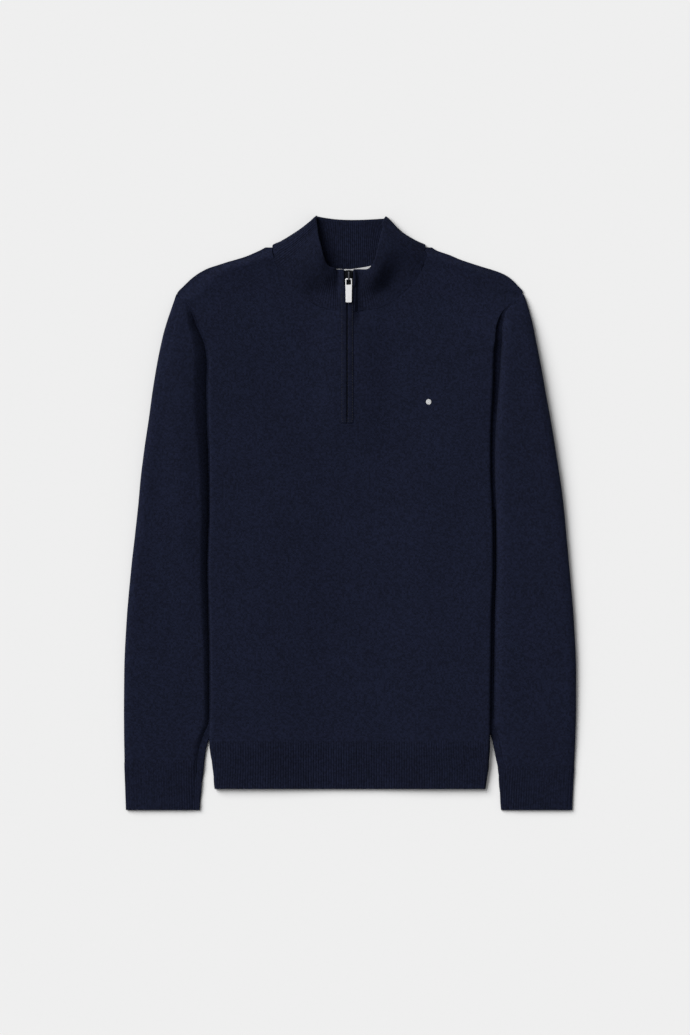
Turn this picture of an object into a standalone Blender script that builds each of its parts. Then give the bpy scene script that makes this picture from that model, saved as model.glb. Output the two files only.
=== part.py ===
"""A fine-knit quarter zip sweater, laid flat on its back with its sleeves straight down.

X runs across the garment, with the wearer's left at +X. Y runs from the hem to the collar and Z up
from the surface it lies on. The body's sides are turned under along two long folds, and each sleeve
comes out from beneath its fold. Every cloth piece is a wall round a centre surface: its rows run
across the garment at named heights, and its heights off the surface come from the layers below.
"""

import math
from collections import namedtuple

import bmesh
import bpy
from mathutils import Matrix, Vector

MM = 0.001  # sizes below are in millimetres, meshes are made in metres

# Cloth walls and the stack that they lie in
KNIT = 1.2                # plain knit and single rib
COLLAR_WALL = 2.2         # the collar is a rib knitted double
BAND_WALL = 0.8           # turned facing beside the zip
TAPE_WALL = 0.6           # woven zip tape
NECK_TAPE_WALL = 0.8
SEAM_GAP = 0.3
COLLAR_GAP = 0.5          # between the zip's tapes and the collar, which slopes and bows
PITCH = KNIT + SEAM_GAP
TUBE_AIR = 0.9            # air left inside a sleeve that lies under the body
SLEEVE_STACK = KNIT + TUBE_AIR + PITCH
BACK_ROLL = 1.2           # centre radius of the back panel's side roll
FRONT_ROLL = BACK_ROLL + PITCH
FLAP_STACK = PITCH + 2 * BACK_ROLL
FRONT_RAMP = 90.0         # width over which a panel climbs onto what is turned under it
BACK_RAMP = 55.0
FRONT_AIR = 0.6           # share of that height that the front keeps in the middle
LEAST_FLAT = 3.0          # shortest flat stretch that a panel or flap keeps

# Heights up the garment, with the stretches over which the layers settle
HEM_BOTTOM = -349.0
HEM_TOP = -288.4
PANEL_BOTTOM = HEM_TOP + 0.4
UNDERARM = 44.0
SLIT_BOTTOM = 123.0
BAND_BOTTOM = 115.6
CHAIN_BOTTOM = 123.6
ROLL_FULL = 190.0         # below this the side roll is closed and the flap begins
BACK_FADE = (206.0, 46.0) # the back comes down to the surface from here, over this stretch
BACK_ROLL_OPEN = 222.0
ROLL_OPEN = 230.0         # above this the armhole seam lies open on top
FRONT_NECK = 256.5
SHOULDER_POINT = 279.0
CHAIN_TOP = 305.0
TAPE_TOP = 308.8
BACK_NECK = 309.0
COLLAR_TOP = 309.3        # top of the collar beside the zip
BACK_TIP = 338.5          # the back panel stops just short of the neck point

# How the front falls to its edges
SHOULDER_FALL = 32.5      # width over which the front comes down to the shoulder's outline
SHOULDER_RUN = 2.4        # below the shoulder point that line runs on outwards this steeply
SHOULDER_SETTLE = (ROLL_OPEN, 40.0)
STAND = 2.2               # how much higher both panels stand beside the left armhole
STAND_START = (110.0, 60.0)
STAND_END = (226.0, 30.0)
STAND_REACH = 60.0
SHOULDER_SHARE = 0.8      # share of its height that the side keeps once settled
NECK_LIFT = 2.5           # what the zip's tapes and the collar's seam hold the neck up by
NECK_RISE = (200.0, 56.0)
NECK_REACH = 150.0
NECK_FADE = 60.0

# Zip
ZIP_X = -2.4              # the zip sits a little to the wearer's right of the middle
BAND_X = -4.3             # and the facings meet a little further over
SLIT_HALF = 3.2
COLLAR_SLIT_HALF = 6.0    # the collar's edges stand further apart beside the slider
FLAT_HALF = 12.0          # the cloth is flat this far from the zip's line
BAND_INNER = 0.6
BAND_OUTER = 7.6
BAND_SPREAD = (282.0, 12.0)  # the facings open out round the slider
BAND_SPREAD_INNER = 5.6
BAND_SPREAD_OUTER = 8.9
TAPE_INNER = 2.5
TAPE_OUTER = 9.0
CHAIN_HALF = 2.2
CHAIN_WALL = 1.8
ZIP_LIFT = 3.0            # the zip raises the front this much
ZIP_RISE = (70.0, 60.0)
ZIP_FADE = 40.0

# Sleeves as they lie
SLEEVE_NOSE = 11.0        # how far in from the outer fold the sleeve is round
NOSE_SHARE = 0.45         # the fold's most, as a share of a narrow sleeve
SEAM_BLEND = 14.0         # the armhole seam comes up from under the body over this stretch
SEAM_DIP = 5.0            # how deep the armhole seam sinks beside the body
SEAM_DIP_END = (226.0, 42.0)
NOSE_STEPS = 5
CROWN_STEPS = 5

# Half-widths of the body as it lies: its outline, and how far in the turned-under side seam reaches
Body = namedtuple("Body", "y outline seam")
BODY = (
    Body(-349.0, 170.8, 109.0),
    Body(-330.0, 173.4, 108.6),
    Body(-288.0, 179.3, 108.0),
    Body(-240.0, 180.4, 106.0),
    Body(-100.0, 180.6, 103.0),
    Body(44.0, 180.6, 100.0),
    Body(80.0, 180.8, 124.0),
    Body(120.0, 181.0, 150.0),
    Body(160.0, 181.6, 168.0),
    Body(190.0, 182.2, 176.0),
    Body(206.0, 183.4, 179.0),
    Body(222.0, 187.0, 184.0),
    Body(240.0, 191.8, 189.0),
    Body(257.0, 199.0, 196.0),
    Body(268.0, 207.5, 204.0),
    Body(279.0, 219.5, 216.0),
    Body(290.0, 211.0, 208.0),
    Body(300.0, 201.6, 198.0),
    Body(310.0, 183.0, 180.0),
    Body(318.0, 157.0, 154.0),
    Body(326.0, 132.0, 129.0),
    Body(334.0, 113.5, 110.0),
    Body(342.0, 101.5, 99.5),
)

# Sleeve sections: outer edge, inner edge (hidden below the body down to the hem), height of the crown
Sleeve = namedtuple("Sleeve", "y outer inner_left inner_right crown")
SLEEVE = (
    Sleeve(-377.0, 283.8, 193.6, 192.0, 3.6),
    Sleeve(-345.0, 285.0, 190.9, 189.4, 4.0),
    Sleeve(-320.0, 286.2, 188.4, 187.6, 4.8),
    Sleeve(-300.0, 286.9, 185.8, 185.4, 5.8),
    Sleeve(-285.0, 287.3, 183.4, 181.0, 6.4),
    Sleeve(-240.0, 287.7, 166.0, 166.0, 7.6),
    Sleeve(-200.0, 287.6, 156.0, 156.0, 8.5),
    Sleeve(-140.0, 285.0, 141.0, 141.0, 9.4),
    Sleeve(-60.0, 278.2, 120.0, 120.0, 10.6),
    Sleeve(20.0, 270.0, 104.0, 104.0, 12.0),
    Sleeve(44.0, 267.3, 100.0, 100.0, 12.6),
    Sleeve(80.0, 262.0, 124.0, 124.0, 13.4),
    Sleeve(120.0, 256.2, 150.0, 150.0, 13.8),
    Sleeve(160.0, 250.3, 168.0, 168.0, 14.0),
    Sleeve(200.0, 243.2, 180.0, 180.0, 13.4),
    Sleeve(240.0, 233.8, 191.0, 191.0, 11.6),
    Sleeve(262.0, 227.0, 203.0, 203.0, 9.0),
    Sleeve(275.0, 222.6, 215.0, 215.0, 5.2),
)
CUFF_SEAM = {1: -320.0, -1: -313.0}
CUFF_BOTTOM = -375.8
CUFF_SETTLE = 14.0        # the sleeve is gathered into its cuff over this stretch

# The trough between each sleeve's crown and the body: width of its floor, power of the left crown's
# slope and run of the right one's
Trough = namedtuple("Trough", "y left_floor right_floor left_steep right_run")
TROUGH = (
    Trough(-377.0, 6.0, 3.0, 6.0, 6.0),
    Trough(-248.0, 4.8, 2.6, 20.0, 6.5),
    Trough(-187.0, 5.0, 2.6, 20.0, 7.5),
    Trough(-109.0, 5.0, 2.6, 20.0, 9.0),
    Trough(27.0, 5.4, 2.6, 22.0, 10.5),
    Trough(88.0, 6.2, 3.2, 20.0, 13.0),
    Trough(148.0, 7.8, 3.4, 17.0, 16.5),
    Trough(196.0, 10.2, 3.6, 15.0, 15.0),
    Trough(209.0, 10.2, 4.0, 13.0, 14.0),
    Trough(234.0, 8.0, 4.0, 8.0, 11.0),
    Trough(262.0, 3.0, 3.0, 4.0, 6.0),
    Trough(279.0, 0.8, 0.8, 3.0, 3.0),
)
TROUGH_SINK = 0.7         # its floor lies this far below the sleeve's inner edge
SINK_END = (240.0, 30.0)

# How far towards +X of even the body's sides and the sleeves' outer edges lie, as it was put down
Lie = namedtuple("Lie", "y right_sleeve right_side left_side left_sleeve")
LIE = (
    Lie(-377.0, -0.5, -1.2, -0.6, -3.4),
    Lie(-344.0, -0.4, -0.9, -0.3, -3.3),
    Lie(-325.0, -0.2, 0.2, 0.0, -3.0),
    Lie(-307.0, 0.1, 0.6, -1.8, -2.8),
    Lie(-288.0, 0.3, 0.5, -2.8, -2.6),
    Lie(-248.0, 0.5, 3.3, -3.6, -2.0),
    Lie(-187.0, 0.9, 3.4, -3.0, -1.9),
    Lie(-126.0, 1.0, 2.2, -2.3, -1.9),
    Lie(-65.0, 1.2, 0.9, -0.3, -1.8),
    Lie(-30.0, 1.8, 1.8, -0.4, -1.6),
    Lie(5.0, 2.0, 2.8, -1.2, -1.2),
    Lie(57.0, 1.0, 2.6, -3.3, -2.0),
    Lie(88.0, 0.4, 2.3, -3.6, -2.2),
    Lie(119.0, 0.6, 1.4, -3.0, -2.9),
    Lie(157.0, 0.2, 1.4, -1.6, -4.2),
    Lie(179.0, 0.1, 2.2, -1.3, -4.4),
    Lie(196.0, 0.0, 3.2, -1.4, -4.5),
    Lie(215.0, -0.1, 3.4, -3.0, -4.2),
    Lie(228.0, -0.2, 1.6, -5.0, -3.6),
    Lie(240.0, 0.1, -1.0, -7.0, -3.0),
    Lie(252.0, 0.4, -1.2, -7.0, -2.4),
    Lie(262.0, 0.6, -0.6, -5.0, -2.0),
    Lie(272.0, 0.8, -0.5, -2.5, -1.8),
    Lie(279.0, 0.0, -0.9, -1.6, -1.6),
    Lie(284.0, 0.0, -0.6, 1.0, 1.0),
    Lie(290.0, 0.0, -0.3, 1.0, 1.0),
    Lie(297.0, 0.0, 0.9, 0.4, 0.4),
    Lie(301.0, 0.0, 1.0, 0.1, 0.1),
    Lie(305.0, 0.0, 0.0, -0.5, -0.5),
    Lie(310.0, -1.3, -2.0, -3.2, -4.0),
    Lie(313.0, -1.3, -3.7, -4.8, -4.0),
    Lie(316.0, -4.0, -4.6, -3.6, -4.0),
    Lie(320.0, -4.0, -5.6, -2.7, -4.0),
    Lie(324.0, -4.0, -4.3, -1.2, -4.0),
    Lie(328.0, -4.0, -3.2, 1.0, -4.0),
    Lie(331.0, -4.0, -3.7, -0.2, -4.0),
    Lie(335.0, -1.5, -2.7, -3.6, -4.0),
    Lie(345.0, 0.0, 0.0, -2.0, -2.0),
)
LIE_REACH = 60.0          # nearer the middle than this nothing moves

# Necklines: half-width of the opening at each height
Neck = namedtuple("Neck", "y half")
FRONT_NECKLINE = (
    Neck(259.0, 23.0),
    Neck(262.5, 38.5),
    Neck(269.0, 51.5),
    Neck(279.0, 64.5),
    Neck(291.0, 77.5),
    Neck(305.0, 87.5),
    Neck(321.0, 94.8),
    Neck(338.0, 97.6),
)
BACK_NECKLINE = (
    Neck(311.0, 20.0),
    Neck(316.0, 44.0),
    Neck(323.0, 64.5),
    Neck(331.0, 80.5),
    Neck(341.0, 96.0),
)

# A neckline the other way round: its height at each half-width, which read() takes as its y
Station = namedtuple("Station", "y height")

# Top edge of the collar's front, for each height on the front neckline: its place, how far the cloth
# bows up between neckline and edge, and what share of its rise comes in one steep stretch
CollarEdge = namedtuple("CollarEdge", "y x top z bow steep")
EDGE_LEFT = (
    CollarEdge(259.0, 15.0, 309.0, 17.0, 0.3, 0.6),
    CollarEdge(262.5, 22.5, 309.6, 22.0, 0.0, 1.0),
    CollarEdge(269.0, 28.2, 315.6, 24.0, 0.0, 1.0),
    CollarEdge(279.0, 33.0, 328.0, 22.0, 0.4, 0.9),
    CollarEdge(291.0, 35.6, 340.0, 19.0, 1.4, 0.8),
    CollarEdge(305.0, 38.4, 352.0, 15.5, 3.4, 0.5),
    CollarEdge(321.0, 41.4, 363.2, 11.5, 4.6, 0.2),
    CollarEdge(338.0, 43.0, 373.4, 7.6, 2.4, 0.0),
)
EDGE_RIGHT = (
    CollarEdge(259.0, 21.0, 311.0, 17.0, 0.5, 0.3),
    CollarEdge(262.5, 27.0, 312.8, 19.5, 0.6, 1.0),
    CollarEdge(269.0, 31.2, 316.8, 21.0, 1.0, 1.0),
    CollarEdge(279.0, 34.6, 325.5, 22.5, 2.6, 0.5),
    CollarEdge(291.0, 37.8, 338.0, 21.0, 4.0, 0.15),
    CollarEdge(305.0, 41.2, 351.0, 18.0, 4.0, 0.0),
    CollarEdge(321.0, 42.8, 364.0, 12.5, 3.4, 0.0),
    CollarEdge(338.0, 43.4, 375.8, 8.2, 1.6, 0.0),
)
ZIP_EDGE_Z = 13.0         # the same beside the zip
ZIP_EDGE_BOW = 0.8
# What differs between the collar's sides: its edge, the steep stretch as shares of the way up, how far
# the side fold draws in halfway up, how far it swells at its top and from what share, the back's corner
CollarSide = namedtuple("CollarSide", "edge steep_from steep_to waist swell swell_from corner_y")
COLLAR_LEFT = CollarSide(EDGE_LEFT, 0.3, 0.84, 3.4, 3.0, 0.5, 374.2)
COLLAR_RIGHT = CollarSide(EDGE_RIGHT, 0.22, 0.82, 2.0, -1.3, 0.35, 377.0)
BACK_CORNER = 43.0        # half-width of the back's top edge, which dips a little in the middle
BACK_EDGE_MIDDLE = 372.3
WAIST_START = (285.0, 53.0)  # the fronts draw in from this height on the neckline
TURN_OUT = 0.16           # how round the side folds are
HPS_HEIGHT = 4.4          # centre height of the collar's front layer at the neck point
NECK_GAP = 0.9            # between the centre lines of a panel and the thicker, sloping collar
COLLAR_BASE = FRONT_NECK + NECK_GAP

# Heights of the rows of points in the body's cloth
ROLL_STEPS = 4
COLLAR_STEPS = 5
HEM_ROWS = (HEM_BOTTOM, -330.0, -310.0, HEM_TOP)
LOW_ROWS = (PANEL_BOTTOM, -200.0, -100.0, 0.0, UNDERARM, 80.0, 115.0, SLIT_BOTTOM)
ARM_ROWS = (150.0, 172.0, ROLL_FULL, 198.0, 206.0, BACK_ROLL_OPEN, ROLL_OPEN, 243.0)
BODY_ROWS = LOW_ROWS + ARM_ROWS + (FRONT_NECK,)
SHOULDER_ROWS = (267.0, SHOULDER_POINT, 291.0, 303.0, BACK_NECK)
SLEEVE_LOW_ROWS = (-285.0, -240.0, -160.0, -80.0, 0.0, UNDERARM, 80.0, 120.0, 160.0)
SLEEVE_ROWS = SLEEVE_LOW_ROWS + (ROLL_FULL, 206.0, BACK_ROLL_OPEN, 232.0, 244.0, 257.0, 268.0, 275.0)

BACK_TAPE_HALF = 60.0
BACK_TAPE_BELOW = 9.1
BACK_TAPE_ABOVE = 1.6
BACK_TAPE_SLANT = 0.06    # it lies a little askew
BACK_TAPE_STEPS = 14

# Slider and pull, in the slider's own frame: origin in the chain's middle, +Y up the zip
SLIDER_Y = 302.2
SLIDER_LENGTH = 14.0
SLIDER_TOP_WIDTH = 9.4
SLIDER_LOW_WIDTH = 7.6
SLIDER_CORNER = 2.4
PLATE_WALL = 1.1
PLATE_REST = 1.3          # the plates' inner faces lie this far from the chain's middle
POST_WIDTH = 2.4
POST_Y = (4.2, 6.4)
BRIDGE_WIDTH = 1.8
BRIDGE_Y = (-6.6, 5.4)
BRIDGE_BAR = 1.2
BRIDGE_TOP = 7.4
PIN_Y = -4.2
PIN_Z = 4.9
PIN_RADIUS = 0.8
PULL_RING_HALF = 4.2
PULL_HOLE_HALF = 3.0
PULL_HOLE_END = 7.4
PULL_SHOULDER = 9.0       # below this the ring narrows to the plate
PULL_HALF = 4.05
PULL_END_HALF = 3.8
PULL_LENGTH = 30.6
PULL_WALL = 1.4
RING_CORNER = 1.6
PULL_CORNER = 1.0
HOLE_CORNER = 0.8

# Finishes: sRGB colour, roughness, metallic
Finish = namedtuple("Finish", "name red green blue roughness metallic")
NAVY_KNIT = Finish("navy_knit", 0.105, 0.118, 0.175, 0.95, 0.0)
NAVY_RIB = Finish("navy_rib", 0.100, 0.112, 0.168, 0.95, 0.0)
NAVY_FACING = Finish("navy_facing", 0.100, 0.112, 0.168, 0.95, 0.0)
DARK_TAPE = Finish("dark_tape", 0.060, 0.066, 0.090, 0.85, 0.0)
DARK_TEETH = Finish("dark_teeth", 0.090, 0.095, 0.110, 0.45, 0.0)
PALE_TAPE = Finish("pale_tape", 0.800, 0.800, 0.810, 0.90, 0.0)
SLIDER_METAL = Finish("slider_metal", 0.420, 0.425, 0.440, 0.35, 1.0)
PULL_METAL = Finish("pull_metal", 0.860, 0.865, 0.880, 0.25, 1.0)


# ---------------------------------------------------------------- numbers

def ease(t):
    """Goes smoothly from 0 to 1 as t does, and stays there."""
    t = min(max(t, 0.0), 1.0)
    return t * t * (3.0 - 2.0 * t)


def settle(y, stretch):
    """Eases from 0 to 1 along a stretch, which is given as its start and its length."""
    start, length = stretch
    return ease((y - start) / length)


def mix(a, b, t):
    return a + (b - a) * t


def read(rows, column, y):
    """The table's column at height y, on a smooth curve that never overshoots its rows."""
    heights = [row.y for row in rows]
    values = [getattr(row, column) for row in rows]
    last = len(rows) - 1
    if y <= heights[0]:
        return values[0]
    if y >= heights[last]:
        return values[last]
    steps = [heights[i + 1] - heights[i] for i in range(last)]
    slopes = [(values[i + 1] - values[i]) / steps[i] for i in range(last)]

    def tangent(i):
        if i == 0:
            return slopes[0]
        if i == last:
            return slopes[last - 1]
        before, after = slopes[i - 1], slopes[i]
        if before * after <= 0.0:
            return 0.0
        return 2.0 * before * after / (before + after)

    i = max(k for k in range(last) if heights[k] <= y)
    t = (y - heights[i]) / steps[i]
    start = (1 + 2 * t) * (1 - t) ** 2 * values[i] + t * (1 - t) ** 2 * steps[i] * tangent(i)
    end = t * t * (3 - 2 * t) * values[i + 1] + t * t * (t - 1) * steps[i] * tangent(i + 1)
    return start + end


# ---------------------------------------------------------------- the body's layers

def outline(y):
    return read(BODY, "outline", y)


def roll_turn(y, opened=ROLL_OPEN):
    """How far round the side roll the panel's edge has gone, in radians."""
    return math.pi * (1.0 - ease((y - ROLL_FULL) / (opened - ROLL_FULL)))


def roll_centre(y):
    """Half-width at which the panel leaves the flat and starts round the roll."""
    return outline(y) - FRONT_ROLL * math.sin(min(roll_turn(y), math.pi / 2))


def ramp_end(y):
    """Half-width at which a panel has climbed onto the flap beneath it."""
    return min(read(BODY, "seam", y), roll_centre(y) - 10.0)


def stack_height(y):
    """Height of the turned-under flaps and the sleeve below a panel's side."""
    return SLEEVE_STACK * ease((y - HEM_BOTTOM) / (HEM_TOP - HEM_BOTTOM)) + FLAP_STACK


def side_lift(x, y, ramp):
    """Height that they give a panel at half-width x."""
    return stack_height(y) * ease((x - ramp_end(y) + ramp) / ramp)


def shoulder_drop(x, y):
    """0 on the shoulder's outline and 1 inside it, where the front comes down to the back."""
    if y < SHOULDER_POINT:
        edge = outline(SHOULDER_POINT) + SHOULDER_RUN * (SHOULDER_POINT - y)
    else:
        edge = outline(y)
    return ease((edge - x) / SHOULDER_FALL)


def zip_rise(x, side):
    """The zip's own bulk, flat beside its line and gone a hand's width away."""
    away = abs(side * x - ZIP_X)
    return ZIP_LIFT * (1.0 - ease((away - FLAT_HALF) / ZIP_FADE))


def armhole_stand(x, y, side):
    """How much higher a panel stands beside the left armhole."""
    if side < 0:
        return 0.0
    stand = STAND * settle(y, STAND_START) * (1.0 - settle(y, STAND_END))
    return stand * ease((x - outline(y) + STAND_REACH) / STAND_REACH)


def back_height(x, y, side):
    """Centre height of the back, which is the same on both sides."""
    return KNIT / 2 + side_lift(x, y, BACK_RAMP) * (1.0 - settle(y, BACK_FADE)) + armhole_stand(x, y, side)


def front_height(x, y, side):
    """Centre height of the front at half-width x."""
    neck = NECK_LIFT * settle(y, NECK_RISE) * ease((NECK_REACH - x) / NECK_FADE)
    beside = mix(side_lift(x, y, FRONT_RAMP), stack_height(y), FRONT_AIR)
    beside *= mix(1.0, SHOULDER_SHARE, settle(y, SHOULDER_SETTLE))
    beside += armhole_stand(x, y, side)
    lift = (beside ** 4 + neck ** 4) ** 0.25 * shoulder_drop(x, y)
    return KNIT / 2 + PITCH + lift + zip_rise(x, side) * settle(y, ZIP_RISE)


# A body layer: its height and ramp, its side roll and where that has opened, its neckline and where
# that starts, and how far up its middle is closed
Layer = namedtuple("Layer", "height ramp roll opened neckline neck_bottom closed_to")
FRONT = Layer(front_height, FRONT_RAMP, FRONT_ROLL, ROLL_OPEN, FRONT_NECKLINE, FRONT_NECK, SLIT_BOTTOM)
BACK = Layer(back_height, BACK_RAMP, BACK_ROLL, BACK_ROLL_OPEN, BACK_NECKLINE, BACK_NECK, BACK_NECK)


def as_laid(point):
    """The point where it comes to lie: the sides and sleeves don't lie quite evenly."""
    x, y, z = point
    word = "left" if x > 0.0 else "right"
    out, half = abs(x), outline(y)
    at_side = read(LIE, f"{word}_side", y)
    if out <= half:
        return Vector((x + at_side * ease((out - LIE_REACH) / (half - LIE_REACH)), y, z))
    span = max(read(SLEEVE, "outer", y) - half, 1.0)
    return Vector((x + mix(at_side, read(LIE, f"{word}_sleeve", y), min((out - half) / span, 1.0)), y, z))


# ---------------------------------------------------------------- meshes

def material(finish):
    found = bpy.data.materials.get(finish.name)
    if found:
        return found
    made = bpy.data.materials.new(finish.name)
    made.use_nodes = True
    shader = made.node_tree.nodes["Principled BSDF"]
    linear = [((c + 0.055) / 1.055) ** 2.4 for c in (finish.red, finish.green, finish.blue)]
    shader.inputs["Base Color"].default_value = (*linear, 1.0)
    shader.inputs["Roughness"].default_value = finish.roughness
    shader.inputs["Metallic"].default_value = finish.metallic
    return made


def add_object(name, mesh, finish, home):
    mesh.materials.append(material(finish))
    made = bpy.data.objects.new(name, mesh)
    home.objects.link(made)
    return made


def cloth(name, rows, wall, finish, home, faces_up=True, is_open=None):
    """A wall of cloth round a grid of centre points, which may have gaps.

    A point of None leaves a hole, and so does a cell that is_open names. A row that ends where it
    began closes on itself there.
    """
    mesh = bpy.data.meshes.new(name)
    bm = bmesh.new()
    grid = [[bm.verts.new(as_laid(p) * MM) if p else None for p in row] for row in rows]
    for row in range(len(grid) - 1):
        low, high = grid[row], grid[row + 1]
        for column in range(len(low) - 1):
            corners = (low[column], low[column + 1], high[column + 1], high[column])
            if all(corners) and not (is_open and is_open(row, column)):
                bm.faces.new(corners if faces_up else corners[::-1])
    loose = [v for v in bm.verts if not v.link_faces]
    bmesh.ops.delete(bm, geom=loose, context="VERTS")
    bmesh.ops.remove_doubles(bm, verts=bm.verts, dist=0.001 * MM)
    bm.to_mesh(mesh)
    bm.free()
    made = add_object(name, mesh, finish, home)
    solidify = made.modifiers.new("wall", "SOLIDIFY")
    solidify.thickness = wall * MM
    solidify.offset = 0.0
    solidify.use_rim = True
    mesh.shade_smooth()
    mesh.set_sharp_from_angle(angle=math.radians(40))
    return made


def panel_columns(y, inner, flat, ramp):
    """Half-widths of a panel's points, from the middle out to where its side roll starts."""
    end = ramp_end(y)
    start = max(end - ramp, mix(flat, end, 0.4))
    climb = [mix(start, end, k / 3) for k in (1, 2, 3)]
    return [inner, flat, mix(flat, start, 0.5), start, *climb, roll_centre(y)]


def panel_half(y, side, inner, layer):
    """One half of a panel's row: flat part, side roll and turned-under flap, from the middle out."""
    turn = roll_turn(y, layer.opened)
    flat = max(side * ZIP_X + FLAT_HALF, inner + LEAST_FLAT)
    points = [(x, layer.height(x, y, side)) for x in panel_columns(y, inner, flat, layer.ramp)]
    end, top = points[-1]
    centre = top - layer.roll
    for k in range(1, ROLL_STEPS + 1):
        angle = turn * k / ROLL_STEPS
        rolled = (end + layer.roll * math.sin(angle), centre + layer.roll * math.cos(angle))
        points.append(rolled if turn > 0.0 else None)
    seam = min(read(BODY, "seam", y), end - LEAST_FLAT)
    for k in (1, 2):
        flap = (mix(end, seam, k / 2), top - 2 * layer.roll)
        points.append(flap if y <= ROLL_FULL else None)
    return [(side * p[0], y, p[1]) if p else None for p in points]


def panel(name, layer, heights, finish, home):
    """A body panel: its halves meet in the middle up to where the slit or the neck opens it."""
    rows = []
    for y in heights:
        halves = []
        for side in (-1, 1):
            middle = side * ZIP_X + SLIT_HALF
            inner = middle if y <= layer.neck_bottom else read(layer.neckline, "half", y)
            halves.append(panel_half(y, side, inner, layer))
        rows.append(halves[0][::-1] + halves[1])
    middle_column = len(rows[0]) // 2 - 1

    def is_open(row, column):
        return column == middle_column and heights[row + 1] > layer.closed_to

    cloth(name, rows, KNIT, finish, home, is_open=is_open)


# ---------------------------------------------------------------- body, hem and sleeves

def build_body(home):
    """The two panels and their hem ribs, which go on in the same rolls."""
    neck_rows = tuple(row.y for row in FRONT_NECKLINE)
    panel("front_panel", FRONT, BODY_ROWS + neck_rows, NAVY_KNIT, home)
    neck_rows = tuple(row.y for row in BACK_NECKLINE[:-1]) + (BACK_TIP,)
    panel("back_panel", BACK, BODY_ROWS + SHOULDER_ROWS + neck_rows, NAVY_KNIT, home)
    panel("hem_rib_front", FRONT, HEM_ROWS, NAVY_RIB, home)
    panel("hem_rib_back", BACK, HEM_ROWS, NAVY_RIB, home)


def sleeve_seam(y, side):
    """Where the sleeve's upper layer meets the front's edge: half-width and height."""
    turn = roll_turn(y)
    top = front_height(roll_centre(y), y, side)
    height = top - FRONT_ROLL + FRONT_ROLL * math.cos(turn)
    height -= SEAM_DIP * (1.0 - settle(y, SEAM_DIP_END))
    return outline(y) + SEAM_GAP + KNIT * math.sin(min(turn, math.pi / 2)), height


def sleeve_inner_edge(y, side):
    """Half-width and height of the upper layer's inner edge: beneath the body, then at its seam."""
    beneath = KNIT / 2 + KNIT + TUBE_AIR
    if y < ROLL_FULL:
        column = "inner_left" if side > 0 else "inner_right"
        return read(SLEEVE, column, y), beneath
    seam, height = sleeve_seam(y, side)
    return seam, mix(beneath, max(height, beneath), ease((y - ROLL_FULL) / SEAM_BLEND))


def sleeve_dip(y, side, inner, inner_z, crown):
    """The foot of the crown's slope beside the body, and the points from there to the inner edge."""
    floor = read(TROUGH, "left_floor" if side > 0 else "right_floor", y)
    foot = (outline(y) + floor, inner_z - TROUGH_SINK * (1.0 - settle(y, SINK_END)))
    if y >= ROLL_FULL:
        foot = (max(foot[0], inner + 0.5), foot[1])
        return foot, [(mix(foot[0], inner, 0.5), mix(foot[1], inner_z, 0.5)), (inner, inner_z)]
    if inner < outline(y) - 6.0:
        return foot, [(outline(y) - 4.0, inner_z), (inner, inner_z)]
    foot = (inner + 8.0, mix(inner_z, crown, 0.12))
    return foot, [(inner + 4.0, mix(inner_z, crown, 0.04)), (inner, inner_z)]


def sleeve_section(y, side):
    """Points round a sleeve, from the hidden end of its lower layer out and back to its upper one."""
    outer = read(SLEEVE, "outer", y)
    crown = read(SLEEVE, "crown", y)
    inner, inner_z = sleeve_inner_edge(y, side)
    width = outer - inner
    nose = min(SLEEVE_NOSE, NOSE_SHARE * width)
    start = outer - nose
    low = KNIT / 2
    points = [(mix(inner + SEAM_GAP / 2, start, k / 3), low) for k in range(4)]
    half = (crown - low) / 2
    for k in range(1, NOSE_STEPS):
        angle = math.pi * (k / NOSE_STEPS - 0.5)
        points.append((start + nose * math.cos(angle), low + half + half * math.sin(angle)))
    # the upper layer stays high, then dips beside the body's fold and runs flat beneath it
    foot, tail = sleeve_dip(y, side, inner, inner_z, crown)
    for k in range(CROWN_STEPS + 1):
        t = math.sin(math.pi / 2 * k / CROWN_STEPS)
        if side > 0:
            fall = t ** read(TROUGH, "left_steep", y)
        else:
            fall = max(1.0 - (start - foot[0]) * (1.0 - t) / read(TROUGH, "right_run", y), 0.0) ** 1.4
        height = mix(foot[1], crown, 1.0 - fall)
        points.append((mix(start, foot[0], t), height))
    points += tail
    return [(side * x, y, z) for x, z in points]


def build_sleeve(side, name, home):
    """A flattened tube that is closed along its inner edge below the underarm."""
    seam = CUFF_SEAM[side]
    rows = []
    for y in (seam, seam + CUFF_SETTLE) + SLEEVE_ROWS:
        row = sleeve_section(y, side)
        rows.append(row + ([row[0]] if y <= UNDERARM else [None]))
    cloth(f"sleeve_{name}", rows, KNIT, NAVY_KNIT, home, faces_up=side < 0)
    rows = []
    for y in (CUFF_BOTTOM, mix(CUFF_BOTTOM, seam, 0.5), seam - SEAM_GAP):
        row = sleeve_section(y, side)
        rows.append(row + [row[0]])
    cloth(f"cuff_{name}", rows, KNIT, NAVY_RIB, home, faces_up=side < 0)


# ---------------------------------------------------------------- collar

def zip_line_height(y):
    """Centre height of the front, and above its neckline of the collar, along the zip."""
    low = front_height(abs(ZIP_X), min(y, FRONT_NECK), -1)
    if y <= FRONT_NECK:
        return low
    v = max(0.0, (y - COLLAR_BASE) / (COLLAR_TOP - COLLAR_BASE))
    return mix(low, ZIP_EDGE_Z, v) + bow(ZIP_EDGE_BOW, v)


def bow(height, v):
    return height * math.sin(math.pi * v ** 1.3)


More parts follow.
